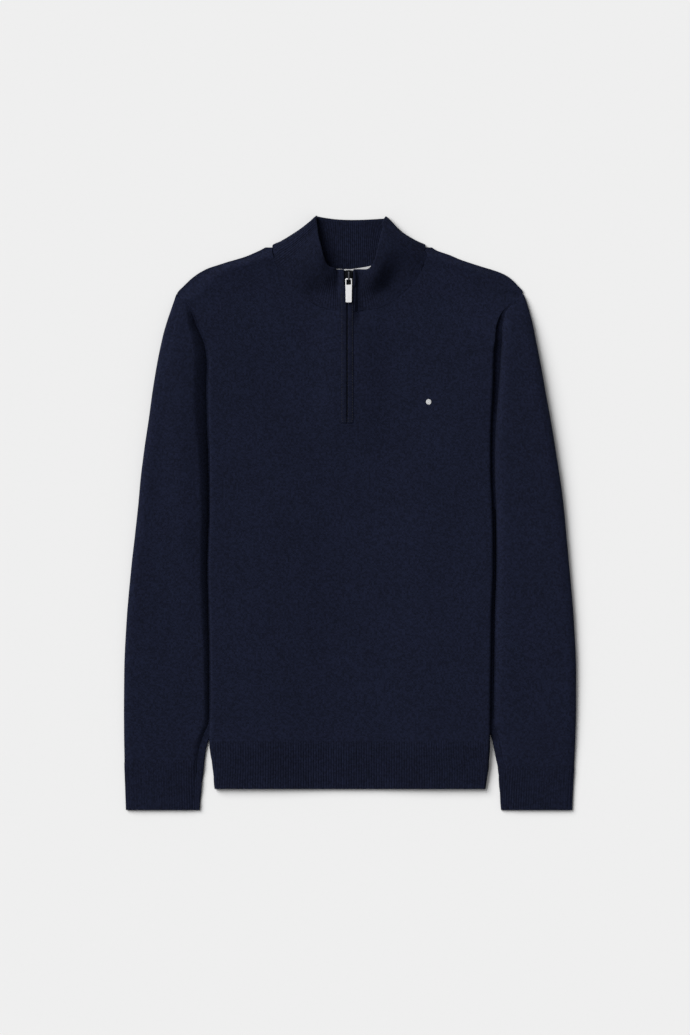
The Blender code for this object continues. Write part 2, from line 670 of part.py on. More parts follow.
def collar_column(base, top, bow_height, steep=0.0, drawn=0.0):
    """Points from the neck seam to the top edge."""
    shape = COLLAR_LEFT if top[0] > 0.0 else COLLAR_RIGHT
    up = Vector((top[0] - base[0], top[1] - base[1], 0.0)).normalized()
    inward = Vector((-up.y * math.copysign(1.0, top[0]), -abs(up.x), 0.0)) * drawn * shape.waist
    points = []
    for k in range(COLLAR_STEPS + 1):
        v = k / COLLAR_STEPS
        rise = mix(v, ease((v - shape.steep_from) / (shape.steep_to - shape.steep_from)), steep)
        point = Vector(base).lerp(Vector(top), v) + inward * math.sin(math.pi * v)
        points.append((point.x, point.y, mix(base[2], top[2], rise) + bow(bow_height, v)))
    return points


def inside(seam):
    """A neckline's points moved up into its opening by the seam's gap."""
    moved = []
    for k, (x, y) in enumerate(seam):
        before, after = seam[max(k - 1, 0)], seam[min(k + 1, len(seam) - 1)]
        along = Vector((after[0] - before[0], after[1] - before[1])).normalized()
        moved.append((x - NECK_GAP * along.y, y + NECK_GAP * along.x))
    return moved


def collar_front(side, shape):
    """Columns of the collar's front on one side, from the zip out to the neck point."""
    low = zip_line_height(FRONT_NECK)
    slit_x = side * ZIP_X + SLIT_HALF
    flat_x = side * ZIP_X + FLAT_HALF
    second = FRONT_NECKLINE[0]
    flat_y = mix(FRONT_NECK, second.y, (flat_x - slit_x) / (second.half - slit_x))
    slit_top = (side * (side * ZIP_X + COLLAR_SLIT_HALF), COLLAR_TOP, ZIP_EDGE_Z)
    flat_top = (side * (flat_x + 2.0), COLLAR_TOP, ZIP_EDGE_Z)
    columns = [
        collar_column((side * slit_x, COLLAR_BASE, low), slit_top, ZIP_EDGE_BOW),
        collar_column((side * flat_x, flat_y + NECK_GAP, low), flat_top, ZIP_EDGE_BOW),
    ]
    seam = inside([(slit_x, FRONT_NECK)] + [(row.half, row.y) for row in FRONT_NECKLINE])[1:]
    for neck, (base_x, base_y), edge in zip(FRONT_NECKLINE, seam, shape.edge):
        height = max(front_height(neck.half, neck.y, side), HPS_HEIGHT)
        base, top = (side * base_x, base_y, height), (side * edge.x, edge.top, edge.z)
        columns.append(collar_column(base, top, edge.bow, edge.steep, settle(neck.y, WAIST_START)))
    return columns


def collar_back(side, shape):
    """Columns of the collar's back on one side, from the neck point in to the middle."""
    columns = []
    low = COLLAR_WALL / 2
    stations = inside([(0.0, BACK_NECK)] + [(row.half, row.y) for row in BACK_NECKLINE])[::-1]
    reach = stations[0][0]
    for half, y in stations:
        share = half / reach
        top_share = 1.0 - (1.0 - share) ** (reach / BACK_CORNER)
        top_y = mix(BACK_EDGE_MIDDLE, shape.corner_y, top_share ** 2)
        top = (side * BACK_CORNER * top_share, top_y, low)
        columns.append(collar_column((side * half, y, low), top, 0.0, 0.0, share ** 3))
    return columns


def collar_turn(front, back, shape):
    """Columns round the fold between the front layer of the collar and its back layer."""
    direction = Vector(front[-1]) - Vector(front[0])
    out = Vector((abs(direction.y), abs(direction.x), 0.0)).normalized()
    out.x *= math.copysign(1.0, front[0][0])
    columns = []
    for angle in (math.pi / 4, math.pi / 2, 3 * math.pi / 4):
        column = []
        for k, (high, low) in enumerate(zip(front, back)):
            v = k / COLLAR_STEPS
            radius = abs(high[2] - low[2]) / 2
            swell = shape.swell * ease((v - shape.swell_from) / (1.0 - shape.swell_from))
            point = Vector(high).lerp(Vector(low), (1 - math.cos(angle)) / 2)
            point.z = (high[2] + low[2]) / 2 + radius * math.cos(angle)
            point += out * (TURN_OUT * radius + swell) * math.sin(angle)
            column.append(tuple(point))
        columns.append(column)
    return columns


def build_collar(home):
    """One strip, from the zip round the neck and back to the zip."""
    halves = {}
    for side, shape in ((-1, COLLAR_RIGHT), (1, COLLAR_LEFT)):
        front, back = collar_front(side, shape), collar_back(side, shape)
        halves[side] = front + collar_turn(front[-1], back[0], shape) + back
    columns = halves[-1] + halves[1][::-1][1:]
    cloth("collar", columns, COLLAR_WALL, NAVY_RIB, home, faces_up=False)


def build_neck_tape(home):
    """A straight tape laid along the back neck seam, on the inside of the collar."""
    rows = []
    height = COLLAR_WALL + SEAM_GAP + NECK_TAPE_WALL / 2
    seam = [Station(0.0, BACK_NECK)] + [Station(row.half, row.y) for row in BACK_NECKLINE]
    for k in range(BACK_TAPE_STEPS + 1):
        x = mix(-BACK_TAPE_HALF, BACK_TAPE_HALF, k / BACK_TAPE_STEPS)
        y = read(seam, "height", abs(x)) + BACK_TAPE_SLANT * x
        rows.append([(x, y + BACK_TAPE_ABOVE, height), (x, y - BACK_TAPE_BELOW, height)])
    cloth("neck_tape", rows, NECK_TAPE_WALL, PALE_TAPE, home)


# ---------------------------------------------------------------- zip

ZIP_ROWS = (SLIT_BOTTOM,) + ARM_ROWS
COLLAR_ROWS = tuple(mix(COLLAR_BASE, COLLAR_TOP, k / COLLAR_STEPS) for k in range(COLLAR_STEPS + 1))


def on_collar(y):
    """0 on the front panel and 1 on the collar, for what steps up or down between them."""
    last = ARM_ROWS[-1]
    return ease((y - last) / (FRONT_NECK - last))


def band_offset(y):
    """Height of the facings' centre above that of the cloth they lie on."""
    return mix(KNIT, COLLAR_WALL, on_collar(y)) / 2 + SEAM_GAP + BAND_WALL / 2


def tape_offset(y):
    """The same for the tapes and the chain, which lie beneath the cloth."""
    gap = mix(SEAM_GAP, COLLAR_GAP, on_collar(y))
    return -mix(KNIT, COLLAR_WALL, on_collar(y)) / 2 - gap - TAPE_WALL / 2


def strip(heights, offset, edges):
    """Rows of a strip that follows the cloth beside the zip, between the two edges it has there."""
    rows = []
    for y in heights:
        z = zip_line_height(y) + offset(y)
        rows.append([(x, y, z) for x in edges(y)])
    return rows


def build_zip(home):
    for side, name in ((1, "left"), (-1, "right")):

        def band_edges(y):
            spread = settle(y, BAND_SPREAD)
            middle = mix(BAND_X, ZIP_X, spread)
            inner = mix(BAND_INNER, BAND_SPREAD_INNER, spread)
            outer = mix(BAND_OUTER, BAND_SPREAD_OUTER, spread)
            return middle + side * inner, middle + side * outer

        def tape_edges(y):
            return ZIP_X + side * TAPE_INNER, ZIP_X + side * TAPE_OUTER

        rows = strip((BAND_BOTTOM,) + ZIP_ROWS + COLLAR_ROWS, band_offset, band_edges)
        cloth(f"zip_band_{name}", rows, BAND_WALL, NAVY_FACING, home, faces_up=side > 0)
        heights = (BAND_BOTTOM,) + ZIP_ROWS + COLLAR_ROWS[:-1] + (TAPE_TOP,)
        rows = strip(heights, tape_offset, tape_edges)
        cloth(f"zip_tape_{name}", rows, TAPE_WALL, DARK_TAPE, home, faces_up=side > 0)

    heights = (CHAIN_BOTTOM,) + ZIP_ROWS[1:] + COLLAR_ROWS[:-1] + (CHAIN_TOP,)
    rows = strip(heights, tape_offset, lambda y: (ZIP_X - CHAIN_HALF, ZIP_X + CHAIN_HALF))
    cloth("zip_chain", rows, CHAIN_WALL, DARK_TEETH, home)


# ---------------------------------------------------------------- slider and pull

def slider_frame():
    """The slider's place on the chain: its origin and its tilt along the collar's rise."""
    half = SLIDER_LENGTH / 2
    low, middle, high = (
        zip_line_height(y) + tape_offset(y) for y in (SLIDER_Y - half, SLIDER_Y, CHAIN_TOP))
    tilt = math.atan2(high - low, CHAIN_TOP - SLIDER_Y + half)
    place = Vector((ZIP_X, SLIDER_Y, middle)) * MM
    return Matrix.Translation(place) @ Matrix.Rotation(tilt, 4, "X")


def box(bm, low, high):
    """A box between two corners."""
    middle = [(a + b) / 2 * MM for a, b in zip(low, high)]
    size = [(b - a) * MM for a, b in zip(low, high)]
    matrix = Matrix.Translation(middle) @ Matrix.Diagonal((*size, 1.0))
    bmesh.ops.create_cube(bm, size=1.0, matrix=matrix)


def plate(bm, outline_points, low, high):
    """A flat plate with the given outline, between two heights."""
    bottom = [bm.verts.new((x * MM, y * MM, low * MM)) for x, y in outline_points]
    face = bm.faces.new(bottom)
    lifted = bmesh.ops.extrude_face_region(bm, geom=[face])
    moved = [item for item in lifted["geom"] if isinstance(item, bmesh.types.BMVert)]
    bmesh.ops.translate(bm, vec=(0.0, 0.0, (high - low) * MM), verts=moved)
    bmesh.ops.recalc_face_normals(bm, faces=bm.faces)


def rounded(half_width, low, high, low_half, corner, steps=4):
    """Outline of a plate that narrows to low_half at its lower end, with round corners."""
    corners = (
        (half_width - corner, high - corner, 0.0),
        (-half_width + corner, high - corner, 90.0),
        (-low_half + corner, low + corner, 180.0),
        (low_half - corner, low + corner, 270.0),
    )
    points = []
    for x, y, start in corners:
        for k in range(steps + 1):
            angle = math.radians(start + 90.0 * k / steps)
            points.append((x + corner * math.cos(angle), y + corner * math.sin(angle)))
    return points


def boolean(target, tool, operation):
    modifier = target.modifiers.new(tool.name, "BOOLEAN")
    modifier.object = tool
    modifier.operation = operation
    modifier.solver = "EXACT"


def tool_object(name, bm, cutters):
    mesh = bpy.data.meshes.new(name)
    bm.to_mesh(mesh)
    bm.free()
    made = bpy.data.objects.new(name, mesh)
    cutters.objects.link(made)
    made.hide_render = True
    made.display_type = "WIRE"
    return made


def build_slider(home, cutters, frame):
    """Two plates joined by a post at the top end, and a bridge on the upper one for the pull."""
    length = SLIDER_LENGTH / 2
    shape = rounded(SLIDER_TOP_WIDTH / 2, -length, length, SLIDER_LOW_WIDTH / 2, SLIDER_CORNER)
    mesh = bpy.data.meshes.new("zip_slider")
    bm = bmesh.new()
    plate(bm, shape, PLATE_REST, PLATE_REST + PLATE_WALL)
    bm.to_mesh(mesh)
    bm.free()
    slider = add_object("zip_slider", mesh, SLIDER_METAL, home)
    slider.matrix_world = frame

    bm = bmesh.new()
    plate(bm, shape, -PLATE_REST - PLATE_WALL, -PLATE_REST)
    lower = tool_object("slider_lower_plate", bm, cutters)
    bm = bmesh.new()
    post_z = PLATE_REST + PLATE_WALL / 2
    box(bm, (-POST_WIDTH / 2, POST_Y[0], -post_z), (POST_WIDTH / 2, POST_Y[1], post_z))
    post = tool_object("slider_post", bm, cutters)
    half = BRIDGE_WIDTH / 2
    bm = bmesh.new()
    box(bm, (-half, BRIDGE_Y[0], post_z), (half, BRIDGE_Y[1], BRIDGE_TOP))
    bridge = tool_object("slider_bridge", bm, cutters)
    bm = bmesh.new()
    opening_low = (-BRIDGE_WIDTH, BRIDGE_Y[0] + BRIDGE_BAR, PLATE_REST + PLATE_WALL)
    opening_high = (BRIDGE_WIDTH, BRIDGE_Y[1] - BRIDGE_BAR, BRIDGE_TOP - BRIDGE_BAR)
    box(bm, opening_low, opening_high)
    opening = tool_object("slider_bridge_opening", bm, cutters)
    for piece in (lower, post, bridge, opening):
        piece.matrix_world = frame
    boolean(bridge, opening, "DIFFERENCE")
    for piece in (lower, post, bridge):
        boolean(slider, piece, "UNION")


def build_pull(home, cutters, frame):
    """A flat tab with a ring end, whose round end bar hangs in the slider's bridge."""
    hinge = bpy.data.objects.new("pull_hinge", None)
    home.objects.link(hinge)
    hinge.empty_display_size = SLIDER_TOP_WIDTH / 2 * MM
    hinge.matrix_world = frame @ Matrix.Translation(Vector((0.0, PIN_Y, PIN_Z)) * MM)

    ring = rounded(PULL_RING_HALF, -PULL_SHOULDER, PIN_RADIUS, PULL_RING_HALF, RING_CORNER)
    tab = rounded(PULL_HALF, PIN_RADIUS - PULL_LENGTH, -PULL_SHOULDER, PULL_END_HALF, PULL_CORNER)
    half = len(ring) // 2
    mesh = bpy.data.meshes.new("pull_tab")
    bm = bmesh.new()
    plate(bm, ring[:half] + tab[half:], -PULL_WALL / 2, PULL_WALL / 2)
    bm.to_mesh(mesh)
    bm.free()
    pull = add_object("pull_tab", mesh, PULL_METAL, home)
    pull.parent = hinge

    bm = bmesh.new()
    hole = rounded(PULL_HOLE_HALF, -PULL_HOLE_END, -PIN_RADIUS, PULL_HOLE_HALF, HOLE_CORNER)
    plate(bm, hole, -PULL_WALL, PULL_WALL)
    cut = tool_object("pull_hole", bm, cutters)
    cut.parent = hinge
    boolean(pull, cut, "DIFFERENCE")


def main():
    for old in list(bpy.data.objects):
        bpy.data.objects.remove(old, do_unlink=True)
    home = bpy.data.collections.new("quarter_zip_sweater")
    cutters = bpy.data.collections.new("cutters")
    for collection in (home, cutters):
        bpy.context.scene.collection.children.link(collection)
    build_body(home)
    build_sleeve(1, "left", home)
    build_sleeve(-1, "right", home)
    build_collar(home)
    build_neck_tape(home)
    build_zip(home)
    frame = slider_frame()
    build_slider(home, cutters, frame)
    build_pull(home, cutters, frame)


main()
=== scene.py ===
import math
import bmesh
import bpy
import numpy as np
from mathutils import Matrix, Vector


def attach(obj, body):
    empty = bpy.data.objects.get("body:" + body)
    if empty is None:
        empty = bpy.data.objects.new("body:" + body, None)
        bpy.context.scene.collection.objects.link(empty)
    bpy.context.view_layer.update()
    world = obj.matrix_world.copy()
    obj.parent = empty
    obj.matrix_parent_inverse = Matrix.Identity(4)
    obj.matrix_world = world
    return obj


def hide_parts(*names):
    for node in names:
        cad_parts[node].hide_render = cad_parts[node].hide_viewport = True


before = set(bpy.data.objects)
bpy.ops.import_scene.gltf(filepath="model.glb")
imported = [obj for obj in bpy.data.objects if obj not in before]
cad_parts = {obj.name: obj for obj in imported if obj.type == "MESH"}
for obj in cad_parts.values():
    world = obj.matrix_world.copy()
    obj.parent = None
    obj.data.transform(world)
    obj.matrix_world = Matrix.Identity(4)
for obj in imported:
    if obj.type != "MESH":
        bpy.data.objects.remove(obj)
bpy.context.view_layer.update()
mm = 0.001  # sizes are in millimetres, meshes in metres
print("frame loaded:", len(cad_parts), "nodes")


# numbers

def ease(t):
    t = np.clip(t, 0.0, 1.0)
    return t * t * (3.0 - 2.0 * t)


def mix(a, b, t):
    return a + (b - a) * t


def settle(y, stretch):  # stretch is where it starts and how long it takes
    return ease((y - stretch[0]) / stretch[1])


def along(rows, column, y):  # a smooth curve down one column of a table, which never overshoots
    heights = np.array([row[0] for row in rows])
    values = np.array([row[column] for row in rows])
    steps = np.diff(heights)
    slopes = np.diff(values) / steps
    before, after = slopes[:-1], slopes[1:]
    same = before * after > 0.0
    bends = np.where(same, 2.0 * before * after / np.where(same, before + after, 1.0), 0.0)
    bends = np.concatenate([slopes[:1], bends, slopes[-1:]])
    y = np.clip(y, heights[0], heights[-1])
    i = np.clip(np.searchsorted(heights, y, side="right") - 1, 0, len(steps) - 1)
    t = (y - heights[i]) / steps[i]
    low = (1 + 2 * t) * (1 - t) ** 2 * values[i] + t * (1 - t) ** 2 * steps[i] * bends[i]
    return low + t * t * (3 - 2 * t) * values[i + 1] + t * t * (t - 1) * steps[i] * bends[i + 1]


def runLength(points):  # how far along the cloth each point of a row lies
    steps = np.linalg.norm(np.diff(points, axis=0), axis=1)
    return np.concatenate([[0.0], np.cumsum(np.nan_to_num(steps))])


def softFolds(x, y, folds):
    # each fold goes from (x, y) to (x, y), is so wide, and stands so high or lies so deep
    height = np.zeros(np.broadcast(x, y).shape)
    for x0, y0, x1, y1, width, rise in folds:
        length = math.hypot(x1 - x0, y1 - y0)
        t = ((x - x0) * (x1 - x0) + (y - y0) * (y1 - y0)) / length ** 2
        away = ((x - x0) * (y1 - y0) - (y - y0) * (x1 - x0)) / length
        fade = np.sin(np.pi * np.clip(t, 0.0, 1.0)) ** 1.3
        height = height + rise * fade * np.exp(-(away / (0.5 * width)) ** 2)
    return height


# finishes

def hexColour(code, darker=1.0):
    parts = [int(code[i:i + 2], 16) / 255 for i in (1, 3, 5)]
    linear = [((p + 0.055) / 1.055) ** 2.4 if p > 0.04045 else p / 12.92 for p in parts]
    return [p * darker for p in linear] + [1.0]


def addNode(tree, kind, settings):  # a setting that is another node's result is linked to it
    node = tree.nodes.new(kind)
    for name, value in settings.items():
        if isinstance(value, bpy.types.NodeSocket):
            tree.links.new(value, node.inputs[name])
        elif isinstance(name, int) or name in node.inputs:
            node.inputs[name].default_value = value
        else:
            setattr(node, name, value)
    return node


class Finish:
    # a material made step by step; a step takes numbers, colours and what other steps give
    def __init__(self, name):
        self.material = bpy.data.materials.new(name)
        self.material.use_nodes = True
        self.tree = self.material.node_tree
        self.tree.nodes.clear()

    def add(self, kind, settings={}, out=0):
        return addNode(self.tree, kind, settings).outputs[out]

    def math(self, operation, *values):
        return self.add("ShaderNodeMath", {"operation": operation, **dict(enumerate(values))})

    def vector(self, operation, *values):
        return self.add("ShaderNodeVectorMath", {"operation": operation, **dict(enumerate(values))})

    def yarn(self):  # how far across and up the cloth, in mm
        return self.add("ShaderNodeUVMap", {"uv_map": "yarn"})

    def place(self):  # where in the object, in metres
        return self.add("ShaderNodeTexCoord", {}, "Object")

    def apart(self, point):  # a point's first two parts
        return addNode(self.tree, "ShaderNodeSeparateXYZ", {0: point}).outputs[:2]

    def noise(self, point, scale, detail, out="Fac", **more):
        settings = {"Vector": point, "Scale": scale, "Detail": detail, **more}
        return self.add("ShaderNodeTexNoise", settings, out)

    def spread(self, value, low, high, least=0.0, most=1.0, **more):  # from low..high to least..most
        ends = {"From Min": low, "From Max": high, "To Min": least, "To Max": most}
        return self.add("ShaderNodeMapRange", {"Value": value, **ends, **more})

    def blend(self, share, first, second, **more):
        return self.add("ShaderNodeMix", {"data_type": "RGBA", 0: share, 6: first, 7: second, **more}, 2)

    def tint(self, colour, amount):
        grey = self.add("ShaderNodeCombineColor", {0: amount, 1: amount, 2: amount})
        return self.blend(1.0, colour, grey, blend_type="MULTIPLY")

    def bump(self, height, strength, distance):
        return self.add("ShaderNodeBump", {"Strength": strength, "Distance": distance, "Height": height})

    def done(self, colour, roughness, normal, settings={}):
        surface = {"Base Color": colour, "Roughness": roughness, "Normal": normal, **settings}
        shader = self.add("ShaderNodeBsdfPrincipled", surface)
        addNode(self.tree, "ShaderNodeOutputMaterial", {"Surface": shader})
        return self.material


knitYarn = {
    "walePitch": 2.1,       # mm; a 12-gauge wale is nearer 1.6, drawn coarser so that it shows
    "coursePitch": 1.5,     # mm; 1.15 in the real cloth
    "lean": 1.1,            # how far the legs of a stitch lean
    "wander": (1.6, 2.2, 0.0),   # mm, how far the columns and rows stray
    "loft": 0.00034,        # m, depth of the stitches
    "fluff": 0.35,          # how far stray fibres stand out, as a share of that
    "shade": "#06070d",     # painted shade in the gaps between the stitches
    "dye": "#090b15",       # navy lambswool and cotton
    "fleck": "#1f253e",     # paler fibres of the melange
    "uptake": (0.5, 0.025), # share of fleck by stitch: how far it varies, and the least
    "stray": 0.55,          # share of fleck by stray fibre
    "nap": "#8f9cc8",       # sheen of the nap
}


def knitMaterial(name, darker=1.0, fleckShare=1.0):
    # milled wool and cotton jersey: matt melange navy with a soft nap, columns of small V stitches
    finish = Finish(name)
    reckon, spread = finish.math, finish.spread
    yarn = finish.yarn()
    centred = finish.vector("SUBTRACT", finish.noise(yarn, 0.09, 2.0, "Color"), (0.5, 0.5, 0.5))
    astray = finish.vector("MULTIPLY", centred, knitYarn["wander"])
    across, up = finish.apart(finish.vector("ADD", yarn, astray))
    wales = reckon("DIVIDE", across, knitYarn["walePitch"])
    side = reckon("PINGPONG", wales, 0.5)
    # each leg is a rounded cord between the middle of a wale and its edge
    legRound = reckon("MULTIPLY", reckon("MULTIPLY", side, reckon("SUBTRACT", 0.5, side)), 16.0)
    rows = reckon("DIVIDE", up, knitYarn["coursePitch"])
    courses = reckon("ADD", rows, reckon("MULTIPLY", side, knitYarn["lean"] * 2.0))
    bulge = spread(reckon("PINGPONG", courses, 0.5), 0.0, 0.5, 0.3, interpolation_type="SMOOTHSTEP")
    stitch = reckon("POWER", reckon("MULTIPLY", legRound, bulge), 0.6)
    # every stitch takes up the dye a little differently, and stray fibres lie over them
    cell = finish.add("ShaderNodeCombineXYZ", {0: reckon("FLOOR", wales), 1: reckon("FLOOR", courses)})
    dyeLot = finish.add("ShaderNodeTexWhiteNoise", {"noise_dimensions": "2D", "Vector": cell}, "Value")
    fibres = finish.noise(yarn, 1.1, 3.0, Roughness=0.7)
    wear = finish.noise(yarn, 0.018, 3.0)
    varies, least = knitYarn["uptake"]
    byStitch = reckon("MULTIPLY_ADD", dyeLot, varies * fleckShare, least * fleckShare)
    byFibre = reckon("MULTIPLY", spread(fibres, 0.32, 0.68), knitYarn["stray"] * fleckShare)
    melange = reckon("ADD", byStitch, byFibre)
    shade, dye, fleck = [hexColour(knitYarn[word], darker) for word in ("shade", "dye", "fleck")]
    # the gaps between the stitches are blended towards the shade colour: painted shade in those recesses
    stitched = finish.blend(spread(stitch, 0.15, 0.75, 0.25), shade, finish.blend(melange, dye, fleck))
    height = reckon("ADD", stitch, reckon("MULTIPLY", fibres, knitYarn["fluff"]))
    return finish.done(
        finish.tint(stitched, spread(wear, 0.3, 0.7, 0.93, 1.07)),
        spread(melange, 0.0, 1.0, 1.0, 0.86),
        finish.bump(height, 0.7, knitYarn["loft"]),
        {
            "Specular IOR Level": 0.1, "Sheen Weight": 0.02, "Sheen Roughness": 0.45,
            "Sheen Tint": hexColour(knitYarn["nap"]),
        },
    )


def wovenMaterial(name, warp, weft, pitch, depth, gloss=0.9):
    # narrow woven tape: crossing threads in two near colours, matt, with a fine grid of dimples
    finish = Finish(name)
    yarn = finish.yarn()
    across, down = [finish.math("DIVIDE", way, pitch) for way in finish.apart(yarn)]
    threads = [finish.math("PINGPONG", way, 0.5) for way in (across, down)]
    check = finish.add("ShaderNodeCombineXYZ", {0: across, 1: down})
    colours = {"Color1": hexColour(warp), "Color2": hexColour(weft)}
    over = finish.add("ShaderNodeTexChecker", {**colours, "Scale": 1.0, "Vector": check})
    slub = finish.noise(yarn, 0.8, 3.0)
    return finish.done(
        finish.tint(over, finish.spread(slub, 0.3, 0.7, 0.82, 1.0)),
        finish.spread(slub, 0.0, 1.0, gloss, gloss - 0.15),
        finish.bump(finish.math("MULTIPLY", *threads), 0.6, depth),
        {"Specular IOR Level": 0.3, "Sheen Weight": 0.04, "Sheen Roughness": 0.5},
    )


def threadMaterial(name, body, shadow):
    # mercerised sewing thread: twisted, a little lustrous along its length
    finish = Finish(name)
    turns = finish.math("MULTIPLY", finish.math("ADD", *finish.apart(finish.yarn())), 2.2)
    ply = finish.math("PINGPONG", turns, 0.5)
    return finish.done(
        finish.blend(finish.math("MULTIPLY", ply, 2.0), hexColour(shadow), hexColour(body)),
        finish.spread(ply, 0.0, 0.5, 0.7, 0.5),
        finish.bump(ply, 0.5, 0.0001),
        {"Sheen Weight": 0.1},
    )


def metalMaterial(name, bright, dark, roughness, brushing):
    # zinc alloy casting, plated and lightly brushed along its length, with fine streaks and dull spots
    finish = Finish(name)
    place = finish.place()
    grain = finish.add("ShaderNodeMapping", {"Scale": (9000.0, 250.0, 9000.0), "Vector": place})
    streaks = finish.noise(grain, 1.0, 4.0)
    return finish.done(
        finish.blend(finish.noise(place, 420.0, 4.0), hexColour(dark), hexColour(bright)),
        finish.spread(streaks, 0.3, 0.7, roughness - 0.08, roughness + 0.1),
        finish.bump(streaks, brushing, 0.00003),
        {"Metallic": 1.0},
    )


def coilMaterial(name):
    # monofilament nylon coil: near black, satin, scuffed paler on top
    finish = Finish(name)
    scuff = finish.noise(finish.place(), 900.0, 3.0)
    return finish.done(
        finish.blend(scuff, hexColour("#07080c"), hexColour("#15171f")),
        finish.spread(scuff, 0.0, 1.0, 0.35, 0.6),
        finish.bump(scuff, 0.3, 0.00005),
    )


def paperMaterial(name, near, warm):
    # sheet of matt pale background paper: nearly even, with a faint fibre mottle
    finish = Finish(name)
    fibre = finish.noise(finish.place(), 180.0, 4.0)
    colour = finish.blend(fibre, hexColour(near), hexColour(warm))
    return finish.done(colour, 1.0, finish.bump(fibre, 0.05, 0.0002), {"Specular IOR Level": 0.0})


jerseyNavy = knitMaterial("navy milled jersey")
# the same yarn as the jersey drawn a tenth darker: painted shade for the shade that falls in the rib's
# grooves
ribNavyShaded = knitMaterial("navy knitted rib with painted shade", darker=0.9)
facingNavy = knitMaterial("navy pressed facing", darker=1.12, fleckShare=0.7)
tapeDark = wovenMaterial("dark woven zip tape", "#0c0d14", "#12141d", 0.6, 0.0001)
tapePale = wovenMaterial("pale cotton twill tape", "#dcdcdc", "#c8c9cc", 0.9, 0.00015)
threadNavy = threadMaterial("navy sewing thread", "#0e111d", "#07080e")
threadPale = threadMaterial("pale embroidery thread", "#e6e6e4", "#a9abb0")
nickelDark = metalMaterial("black nickel slider", "#2a2b30", "#18191d", 0.34, 0.3)
# the bridge is cast with the slider's body; its paler metal is a painted highlight where it catches the light
nickelBridgeHighlight = metalMaterial("slider nickel painted paler on the bridge", "#74767d", "#4e5057", 0.42, 0.3)
nickelBright = metalMaterial("brushed silver pull", "#ffffff", "#f4f4f6", 0.56, 0.25)
coilDark = coilMaterial("nylon zip coil")
print("finishes mixed")


# cloth

sleeveCut = {
    "nose": 11.0, "noseShare": 0.45, "seamBlend": 14.0,
    # beside the body's fold: height, floor left and right, steepness of the crown's slope left, run right
    "trough": [
        (-377, 6, 3, 6, 6), (-248, 4.8, 2.6, 20, 6.5), (-187, 5, 2.6, 20, 7.5), (-109, 5, 2.6, 20, 9),
        (-34, 5.2, 2.6, 22, 9.5), (27, 5.4, 2.6, 22, 10.5), (57, 5.7, 2.8, 22, 11.5), (88, 6.2, 3.2, 20, 13),
        (119, 7, 3.4, 18, 16), (148, 7.8, 3.4, 17, 16.5), (170, 9, 3.4, 16, 16), (196, 10.2, 3.6, 15, 15),
        (209, 10.2, 4, 13, 14), (234, 8, 4, 8, 11), (262, 3, 3, 4, 6), (279, 0.8, 0.8, 3, 3),
    ],
    "sink": (0.7, 240.0, 30.0),   # how far below the sleeve's edge the floor lies, and where that ends
    # the sleeve's edge passes below the front's: how far over and under, and where each ends
    "tuck": (1.4, 1.6), "over": (232.0, 14.0), "under": (244.0, 16.0),
    "dip": (5.0, 226.0, 42.0),   # how deep it dips there, and where that ends
    "underFold": 6.0, "rest": 4.0, "bareFoot": 8.0,   # at least under the fold; level beside it; without one
    "shoulder": 1.4, "foldRound": 0.6,
    "cuffSeam": {1: -320.0, -1: -313.0}, "cuffBottom": -375.8,
    "shape": [  # height, outer edge, inner edge left, inner edge right, crown
        (-377, 283.8, 193.6, 192, 3.6), (-345, 285, 190.9, 189.4, 4), (-320, 286.2, 188.4, 187.6, 4.8),
        (-300, 286.9, 185.8, 185.4, 5.8), (-285, 287.3, 183.4, 181, 6.4), (-240, 287.7, 166, 166, 7.6),
        (-200, 287.6, 156, 156, 8.5), (-140, 285, 141, 141, 9.4), (-60, 278.2, 120, 120, 10.6),
        (20, 270, 104, 104, 12), (44, 267.3, 100, 100, 12.6), (80, 262, 124, 124, 13.4),
        (120, 256.2, 150, 150, 13.8), (160, 250.3, 168, 168, 14), (200, 243.2, 180, 180, 13.4),
        (240, 233.8, 191, 191, 11.6), (262, 227, 203, 203, 9), (275, 222.6, 215, 215, 5.2),
        (278.8, 220.6, 219.2, 219.2, 3),
    ],
    "folds": {  # from, to, width, height
        1: [(232.0, 60.0, 262.0, -120.0, 26.0, 0.4), (214.0, -60.0, 240.0, -210.0, 24.0, -0.4)],
        -1: [(-226.0, 330.0, -208.0, -180.0, 42.0, 3.2), (-262.0, 40.0, -236.0, -150.0, 30.0, -0.5)],
    },
}

